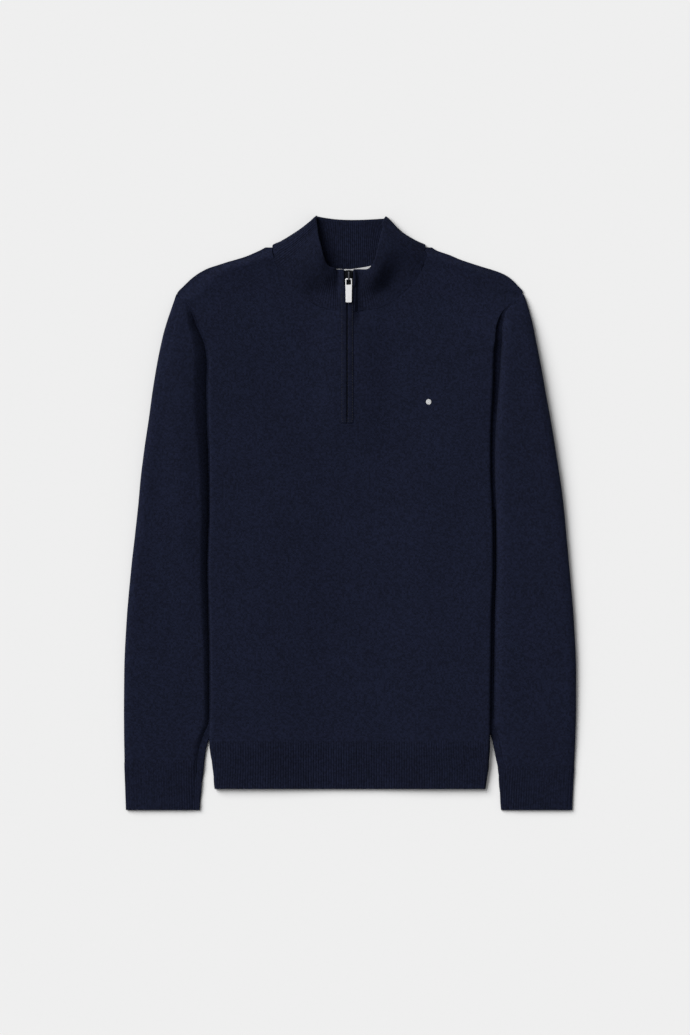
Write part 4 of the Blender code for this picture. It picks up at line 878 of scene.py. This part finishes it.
# a doubled strip: up the outside, over the turned top edge and down the inside
thickness = collarCut["wall"] / 2 * mix(least, 1.0, ease(yarns[..., 1] / thinTop)) + relief * fade
outside, inside = pushOut(grid, -thickness), pushOut(grid, thickness)
topWay = grid[:, -1] - grid[:, -2]
topWay /= np.linalg.norm(topWay, axis=1, keepdims=True)
thick = (outside[:, -1] - inside[:, -1]) / 2
overTop = []
for a in np.pi * np.arange(1, 6) / 6:
    overTop.append(grid[:, -1] + thick * math.cos(a) + topWay * math.sin(a) * collarCut["wall"] / 2)
ring = np.concatenate([outside, np.stack(overTop, 1), inside[:, ::-1]], axis=1)
ring[..., 2] = np.maximum(ring[..., 2], 0.02)   # pressed flat on the table
ringYarn = np.zeros(ring.shape[:2] + (2,))
ringYarn[..., 0] = run[:, None]
ringYarn[..., 1] = np.concatenate([v, tall + np.arange(1, 6) * 0.6, tall + 3.6 + tall - v[::-1]])[None, :]
ring = np.concatenate([ring, ring[:, :1]], axis=1)
ringYarn = np.concatenate([ringYarn, ringYarn[:, -1:] + [0.0, 2.2]], axis=1)
collar = layCloth("collar_rib", ring, ringYarn, ribNavyShaded, joined=True)
bm = bmesh.new()
bm.from_mesh(collar.data)
bmesh.ops.holes_fill(bm, edges=[e for e in bm.edges if e.is_boundary], sides=0)
bmesh.ops.recalc_face_normals(bm, faces=bm.faces)
bm.to_mesh(collar.data)
bm.free()
collar.data.set_sharp_from_angle(angle=creases["cloth"])
sew(collar, "navy_rib", "collar")
print("collar stood up, its length", round(float(run[-1])))


neckTape = {"half": 60.0, "below": 9.1, "above": 1.6, "slant": 0.06, "wall": 0.8, "lie": 2.9}

x = np.linspace(-neckTape["half"], neckTape["half"], 90)
w = np.linspace(-neckTape["below"], neckTape["above"], 9)
seamY = along([(row[1], row[0]) for row in bodyCut["backNeckline"]], 1, np.abs(x)) + neckTape["slant"] * x
z = neckTape["lie"] + 0.12 * np.sin(x / 7.0)[:, None] * np.ones(len(w)) + 0.1
points = np.stack([np.repeat(x[:, None], len(w), 1), seamY[:, None] + w[None, ::-1], z], 2)
yarns = points[..., :2].copy()
backTape = layCloth("neck_tape_woven", points, yarns, tapePale, neckTape["wall"], faceUp=True)
sew(backTape, "pale_tape", "neck_tape")


# zip

zipCut = {
    "bandBottom": 115.6, "chainBottom": 123.6, "chainTop": 305.0, "tapeTop": 308.8,
    "bandX": -4.3,   # the facings meet a little to the right of the teeth
    "bandInner": 0.6, "bandOuter": 7.6, "bandWall": 0.8,
    "spread": (282.0, 12.0), "spreadInner": 5.6, "spreadOuter": 8.9,   # they open out round the slider
    "tapeInner": 2.5, "tapeOuter": 9.0, "tapeWall": 0.6, "toothPitch": 1.4,
    "air": (0.3, 0.5),   # between the facings or tapes and the cloth: on the front, on the collar
    "collarFrom": 243.0, # from here up the cloth thickens into the collar
}


def onCollar(y):
    start = zipCut["collarFrom"]
    return ease((y - start) / (frontNeck - start))


def halfWall(y):
    return mix(bodyCut["wall"], collarCut["wall"], onCollar(y)) / 2


def bandOffset(y):
    return halfWall(y) + zipCut["air"][0] + zipCut["bandWall"] / 2


def tapeOffset(y):
    return -halfWall(y) - mix(*zipCut["air"], onCollar(y)) - zipCut["tapeWall"] / 2


bandY = np.linspace(zipCut["bandBottom"], collarCut["top"], 110)
zipParts = []
for side, word in ((1, "left"), (-1, "right")):
    spread = settle(bandY, zipCut["spread"])
    middle = mix(zipCut["bandX"], bodyCut["zipX"], spread)
    inner = mix(zipCut["bandInner"], zipCut["spreadInner"], spread)
    outer = mix(zipCut["bandOuter"], zipCut["spreadOuter"], spread)
    lie = zipHeight(bandY) + bandOffset(bandY)
    # a closed pressed fold: thick and round at the slit, thin at the stitched edge
    t = np.array([0.0, 0.08, 0.25, 0.5, 0.75, 0.92, 1.0, 0.92, 0.75, 0.5, 0.25, 0.08, 0.0])
    rise = np.array([-0.2, 0.3, 0.5, 0.42, 0.25, 0.05, -0.2, -0.5, -0.5, -0.5, -0.5, -0.5, -0.2])
    points = np.stack([
        middle[:, None] + side * (inner[:, None] + (outer - inner)[:, None] * t[None, :]),
        np.repeat(bandY[:, None], len(t), 1),
        lie[:, None] + rise[None, :],
    ], 2)
    yarns = points[..., :2].copy()
    band = layCloth(f"zip_facing_{word}", points, yarns, facingNavy, joined=True, faceUp=side > 0)
    sew(band, "navy_facing", f"zip_band_{word}")
    tapeY = np.linspace(zipCut["bandBottom"], zipCut["tapeTop"], 80)
    w = np.linspace(zipCut["tapeInner"], zipCut["tapeOuter"], 6)
    points = np.stack([
        np.repeat(bodyCut["zipX"] + side * w[None, :], len(tapeY), 0),
        np.repeat(tapeY[:, None], len(w), 1),
        np.repeat((zipHeight(tapeY) + tapeOffset(tapeY))[:, None], len(w), 1),
    ], 2)
    yarns = points[..., :2].copy()
    tape = layCloth(f"zip_tape_{word}_woven", points, yarns, tapeDark, zipCut["tapeWall"], faceUp=side > 0)
    sew(tape, "dark_tape", f"zip_tape_{word}")
    zipParts += [band, tape]

print("facings and tapes laid")


def layCords(name, paths, radii, sides, material, facing=(0.0, 0.0, 1.0)):
    # many small cords in one mesh: paths is cords x points x 3, radii the thickness along each
    paths = np.array(paths)
    tangent = np.gradient(paths, axis=1)
    tangent /= np.linalg.norm(tangent, axis=2, keepdims=True)
    sideWay = np.cross(tangent, np.array(facing))
    sideWay /= np.linalg.norm(sideWay, axis=2, keepdims=True)
    topWay = np.cross(sideWay, tangent)
    angle = np.linspace(0.0, 2 * np.pi, sides + 1)
    radii = np.array(radii)[None, :, None, None]
    ring = sideWay[:, :, None, :] * np.cos(angle)[:, None] + topWay[:, :, None, :] * np.sin(angle)[:, None]
    points = paths[:, :, None, :] + ring * radii
    steps = np.linalg.norm(np.diff(paths, axis=1), axis=2)
    run = np.concatenate([np.zeros((len(paths), 1)), np.cumsum(steps, axis=1)], axis=1)
    yarns = np.zeros(points.shape[:3] + (2,))
    yarns[..., 0] = run[:, :, None] + np.arange(len(paths))[:, None, None] * 3.7
    yarns[..., 1] = angle * float(np.max(radii))
    gapPoints = np.full((len(paths), 1, sides + 1, 3), np.nan)
    gapYarns = np.zeros((len(paths), 1, sides + 1, 2))
    points = np.concatenate([points, gapPoints], axis=1).reshape(-1, sides + 1, 3)
    yarns = np.concatenate([yarns, gapYarns], axis=1).reshape(-1, sides + 1, 2)
    return layCloth(name, points, yarns, material, joined=True, faceUp=False)


def coilLoops():
    # each turn of the nylon coil is a flat loop whose head reaches past the middle
    reach = np.array([2.15, 1.4, 0.6, -0.2, -0.62, -0.74, -0.62, -0.2, 0.6, 1.4, 2.15])
    rise = np.array([-0.5, -0.52, -0.54, -0.5, -0.32, 0.0, 0.32, 0.5, 0.54, 0.52, 0.5])
    drift = np.linspace(-0.18, 0.18, len(reach))
    count = int((zipCut["chainTop"] - zipCut["chainBottom"]) / zipCut["toothPitch"])
    loops = []
    for k in range(count):
        for side in (1, -1):
            y = zipCut["chainBottom"] + 0.5 + (k + (0.5 if side > 0 else 0.0)) * zipCut["toothPitch"]
            if y < zipCut["chainTop"]:
                z = float(zipHeight(y) + tapeOffset(y)) + 0.1
                loops.append(np.stack([bodyCut["zipX"] + side * reach, y + drift, z + rise], 1))
    return loops


loops = coilLoops()
coil = layCords("zip_coil", loops, [0.3] + [0.36] * 9 + [0.3], 6, coilDark, facing=(0.0, 1.0, 0.0))
sew(coil, "zip_teeth", "zip_chain")

seamStitch = {"length": 2.3, "gap": 0.9, "inset": 0.9}


def stitchRow(ends, lift):  # short stitches one after another along the line between two points
    (x0, y0), (x1, y1) = ends
    length = math.hypot(x1 - x0, y1 - y0)
    count = max(1, int(length / (seamStitch["length"] + seamStitch["gap"])))
    rows = []
    for k in range(count):
        a, b = (k + 0.14) / count, (k + 0.86) / count
        t = np.linspace(a, b, 6)
        dip = np.array([-0.25, 0.08, 0.14, 0.14, 0.08, -0.25])
        x, y = mix(x0, x1, t), mix(y0, y1, t)
        rows.append(np.stack([x, y, lift(x, y) + dip], 1))
    return rows


def onFacing(x, y):
    return zipHeight(y) + bandOffset(y) + 0.12


paths = []
for side in (1, -1):
    edge = zipCut["bandX"] + side * (zipCut["bandOuter"] - seamStitch["inset"])
    paths += stitchRow(((edge, 118.0), (edge, 281.0)), onFacing)
for y in (117.6, 120.4):
    paths += stitchRow(((zipCut["bandX"] - 6.9, y), (zipCut["bandX"] + 6.9, y)), onFacing)
facingStitches = layCords("zip_facing_stitches", paths, [0.05, 0.2, 0.22, 0.22, 0.2, 0.05], 6, threadNavy)
sew(facingStitches, "navy_facing")
print("zip closed,", len(loops), "turns of coil and", len(paths), "stitches")


# slider and pull, in the slider's own frame: origin in the chain's middle, +Y up the zip

sliderCut = {
    "y": 302.2, "length": 14.0, "topWidth": 9.4, "lowWidth": 7.6, "corner": 2.4, "plate": 1.1, "rest": 1.3,
    "flange": 0.8, "bridgeWidth": 1.8, "bridge": (-6.6, 5.4), "bridgeBar": 1.2, "bridgeTop": 7.4,
    "post": (2.4, 4.2, 6.4), "softEdge": 0.22, "bend": 1.5,
    "rail": (2.4, 3.0, 0.7),   # the flanges stop this short below and above, and lean out this much
}
pullCut = {
    "pinY": -4.2, "pinZ": 4.9, "pin": 0.8, "ringHalf": 4.2, "holeHalf": 3.0, "holeEnd": 7.4, "shoulder": 9.0,
    "half": 4.05, "endHalf": 3.8, "length": 30.6, "wall": 1.4, "ringCorner": 1.6, "endCorner": 1.0,
    "holeCorner": 0.8, "softEdge": 0.28,
}


def sliderPlace():
    half = sliderCut["length"] / 2
    heights = sliderCut["y"] - half, sliderCut["y"], zipCut["chainTop"]
    low, middle, high = [float(zipHeight(y) + tapeOffset(y)) for y in heights]
    tilt = math.atan2(high - low, zipCut["chainTop"] - sliderCut["y"] + half)
    spot = Vector((bodyCut["zipX"], sliderCut["y"], middle)) * mm
    return Matrix.Translation(spot) @ Matrix.Rotation(tilt, 4, "X")


def roundedShape(half, low, high, lowHalf, corner, steps=6):
    middles = [
        (half - corner, high - corner), (corner - half, high - corner),
        (corner - lowHalf, low + corner), (lowHalf - corner, low + corner),
    ]
    points = []
    for turn, (x, y) in enumerate(middles):
        for k in range(steps + 1):
            a = math.radians(90 * turn + 90.0 * k / steps)
            points.append((x + corner * math.cos(a), y + corner * math.sin(a)))
    return points


def stampPlate(name, shapes, low, high, softEdge):
    # a flat plate with softened edges; shapes are its outline and then its holes
    curve = bpy.data.curves.new(name, "CURVE")
    curve.dimensions = "2D"
    curve.fill_mode = "BOTH"
    curve.extrude = ((high - low) / 2 - softEdge) * mm
    curve.bevel_depth = softEdge * mm
    curve.bevel_resolution = 2
    curve.offset = -softEdge * mm
    for shape in shapes:
        line = curve.splines.new("POLY")
        line.points.add(len(shape) - 1)
        for point, (x, y) in zip(line.points, shape):
            point.co = (x * mm, y * mm, 0.0, 1.0)
        line.use_cyclic_u = True
    drawn = intoScene(name, curve)
    bpy.context.view_layer.update()
    mesh = bpy.data.meshes.new_from_object(drawn.evaluated_get(bpy.context.evaluated_depsgraph_get()))
    mesh.transform(Matrix.Translation((0.0, 0.0, (low + high) / 2 * mm)))
    bpy.data.objects.remove(drawn)
    return mesh


def strapMesh(path, half, thick):
    # a bent metal strap: a bar with its four edges cut off, along a path in the Y-Z plane
    path = np.array(path)
    tangent = np.gradient(path, axis=0)
    tangent /= np.linalg.norm(tangent, axis=1, keepdims=True)
    out = np.stack([-tangent[:, 1], tangent[:, 0]], 1)
    bend = 0.35
    inner, high, level = half - bend, thick / 2, thick / 2 - bend
    section = [(half, -level), (half, level), (inner, high), (-inner, high)]
    section += [(-x, -z) for x, z in section]
    bm = bmesh.new()
    rings = []
    for (y, z), (oy, oz) in zip(path, out):
        rings.append([bm.verts.new((sx * mm, (y + oy * sz) * mm, (z + oz * sz) * mm)) for sx, sz in section])
    for low, high in zip(rings, rings[1:]):
        for k in range(len(section)):
            n = (k + 1) % len(section)
            bm.faces.new((low[k], low[n], high[n], high[k]))
    bm.faces.new(rings[0][::-1])
    bm.faces.new(rings[-1])
    bmesh.ops.recalc_face_normals(bm, faces=bm.faces)
    mesh = bpy.data.meshes.new("strap")
    bm.to_mesh(mesh)
    bm.free()
    return mesh


def joinMeshes(name, meshes, matrix, material):
    bm = bmesh.new()
    for mesh in meshes:
        bm.from_mesh(mesh)
        bpy.data.meshes.remove(mesh)
    bmesh.ops.transform(bm, matrix=matrix, verts=bm.verts)
    made = bpy.data.meshes.new(name)
    bm.to_mesh(made)
    bm.free()
    made.materials.clear()
    made.materials.append(material)
    made.shade_smooth()
    made.set_sharp_from_angle(angle=creases["metal"])
    return intoScene(name, made)


place = sliderPlace()
half = sliderCut["length"] / 2
shape = roundedShape(sliderCut["topWidth"] / 2, -half, half, sliderCut["lowWidth"] / 2, sliderCut["corner"])
rest, plate = sliderCut["rest"], sliderCut["plate"]
meshes = [
    stampPlate("upper", [shape], rest, rest + plate, sliderCut["softEdge"]),
    stampPlate("lower", [shape], -rest - plate, -rest, sliderCut["softEdge"]),
]
postHalf, postLow, postHigh = sliderCut["post"][0] / 2, sliderCut["post"][1], sliderCut["post"][2]
post = [(-postHalf, postLow), (postHalf, postLow), (postHalf, postHigh), (-postHalf, postHigh)]
meshes.append(stampPlate("post", [post], -rest - 0.3, rest + 0.3, 0.1))
for side in (1, -1):
    x0 = side * (sliderCut["lowWidth"] / 2 - 0.05)
    x1 = side * (sliderCut["lowWidth"] / 2 - sliderCut["flange"])
    start, end, lean = sliderCut["rail"][0] - half, half - sliderCut["rail"][1], side * sliderCut["rail"][2]
    rail = [(x0, start), (x1, start), (x1 + lean, end), (x0 + lean, end)]
    meshes.append(stampPlate("flange", [rail], rest - 0.75, rest + 0.2, 0.1))
low, high = sliderCut["bridge"]
bar, top = sliderCut["bridgeBar"], sliderCut["bridgeTop"]
bend = sliderCut["bend"]
level = top - bar / 2 - bend
arch = [(low + bar / 2, rest + 0.4), (low + bar / 2, level)]
for a in np.linspace(0.2, math.pi / 2, 6):
    arch.append((low + bar / 2 + bend - bend * math.cos(a), level + bend * math.sin(a)))
for a in np.linspace(0.0, math.pi / 2, 7):
    arch.append((high - bar / 2 - bend + bend * math.sin(a), level + bend * math.cos(a)))
arch.append((high - bar / 2, rest + 0.4))
slider = joinMeshes("zip_slider_body", meshes, place, nickelDark)
sew(slider, "slider_metal", "zip_slider")
strap = strapMesh(arch, sliderCut["bridgeWidth"] / 2, bar)
# the bridge's paler metal is a painted highlight where it catches the light
bridge = joinMeshes("zip_slider_bridge", [strap], place, nickelBridgeHighlight)
sew(bridge, "slider_metal")

pin, shoulder, wall = pullCut["pin"], pullCut["shoulder"], pullCut["wall"]
ring = roundedShape(pullCut["ringHalf"], -shoulder, pin, pullCut["ringHalf"], pullCut["ringCorner"])
end, holeHalf = pin - pullCut["length"], pullCut["holeHalf"]
tab = roundedShape(pullCut["half"], end, -shoulder, pullCut["endHalf"], pullCut["endCorner"])
hole = roundedShape(holeHalf, -pullCut["holeEnd"], -pin, holeHalf, pullCut["holeCorner"])
outlineShape = ring[:len(ring) // 2] + tab[len(tab) // 2:]
pullMesh = stampPlate("pull", [outlineShape, hole[::-1]], -wall / 2, wall / 2, pullCut["softEdge"])
hang = place @ Matrix.Translation(Vector((0.0, pullCut["pinY"], pullCut["pinZ"])) * mm)
pull = joinMeshes("zip_pull", [pullMesh], hang, nickelBright)
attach(pull, "pull")
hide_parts("pull_tab")
print("slider and pull hung")


chestMark = {"x": 99.6, "y": 142.2, "radius": 3.4, "threads": 15, "slant": 0.6}


def satinDot():
    # a plain round dot in satin stitch: threads side by side, each as long as the dot is there
    radius, count = chestMark["radius"], chestMark["threads"]
    c, s = math.cos(chestMark["slant"]), math.sin(chestMark["slant"])
    paths = []
    for k in range(count):
        across = radius * (2.0 * (k + 0.5) / count - 1.0)
        reach = math.sqrt(radius ** 2 - across ** 2)
        t = np.linspace(-1.0, 1.0, 9)
        u, w = reach * t, np.full(9, across)
        x, y = chestMark["x"] + u * c - w * s, chestMark["y"] + u * s + w * c
        z = frontHeight(x, chestMark["y"], 1) + softFolds(x, y, bodyCut["folds"]) + bodyCut["wall"] / 2
        z = z + 0.45 * np.sqrt(1.0 - t ** 6) + 0.1 - 0.12 * (across / radius) ** 2
        paths.append(np.stack([x, y, z], 1))
    return paths


mark = layCords("chest_dot_embroidery", satinDot(), [0.2, 0.27] + [0.28] * 5 + [0.27, 0.2], 8, threadPale)
sew(mark, "pale_tape")
print("dot embroidered")


# table, light and camera

stage = {
    "tabletop": "#f1f1f1", "warm": "#f0f0f0", "sky": 0.255,
    "key": 3.62, "keySpread": 46.0, "keyFrom": (-2.0, 1.6, 2.1),
}


bm = bmesh.new()
bmesh.ops.create_grid(bm, x_segments=8, y_segments=8, size=8.0)
mesh = bpy.data.meshes.new("floor")
bm.to_mesh(mesh)
bm.free()
mesh.materials.append(paperMaterial("matt background paper", stage["tabletop"], stage["warm"]))
floor = intoScene("floor", mesh)
floor.location.z = -0.0002

world = bpy.data.worlds.new("studio")
world.use_nodes = True
world.node_tree.nodes.clear()
sky = {"Color": (1.0, 1.0, 1.0, 1.0), "Strength": stage["sky"]}
air = addNode(world.node_tree, "ShaderNodeBackground", sky)
addNode(world.node_tree, "ShaderNodeOutputWorld", {"Surface": air.outputs[0]})
bpy.context.scene.world = world

lamp = bpy.data.lights.new("softbox", "SUN")   # a large softbox far off, so that the table is evenly lit
lamp.angle = math.radians(stage["keySpread"])
lamp.energy = stage["key"]
softbox = intoScene("softbox", lamp)
softbox.location = stage["keyFrom"]
softbox.rotation_euler = (-Vector(stage["keyFrom"])).to_track_quat("-Z", "Y").to_euler()

view = {"across": 690, "down": 1035, "mmEach": 1.27, "middle": (350.6, 514.0), "away": 7.0}
lens = bpy.data.cameras.new("overhead")
lens.sensor_width = 36.0
lens.lens = 36.0 * view["away"] / (view["down"] * view["mmEach"] * mm)
lens.clip_end = 50.0
camera = intoScene("overhead", lens)
camera.location = (
    (view["across"] / 2 - view["middle"][0]) * view["mmEach"] * mm,
    (view["middle"][1] - view["down"] / 2) * view["mmEach"] * mm,
    view["away"],
)
bpy.context.scene.camera = camera
bpy.context.scene.view_settings.view_transform = "Standard"
print("studio lit")
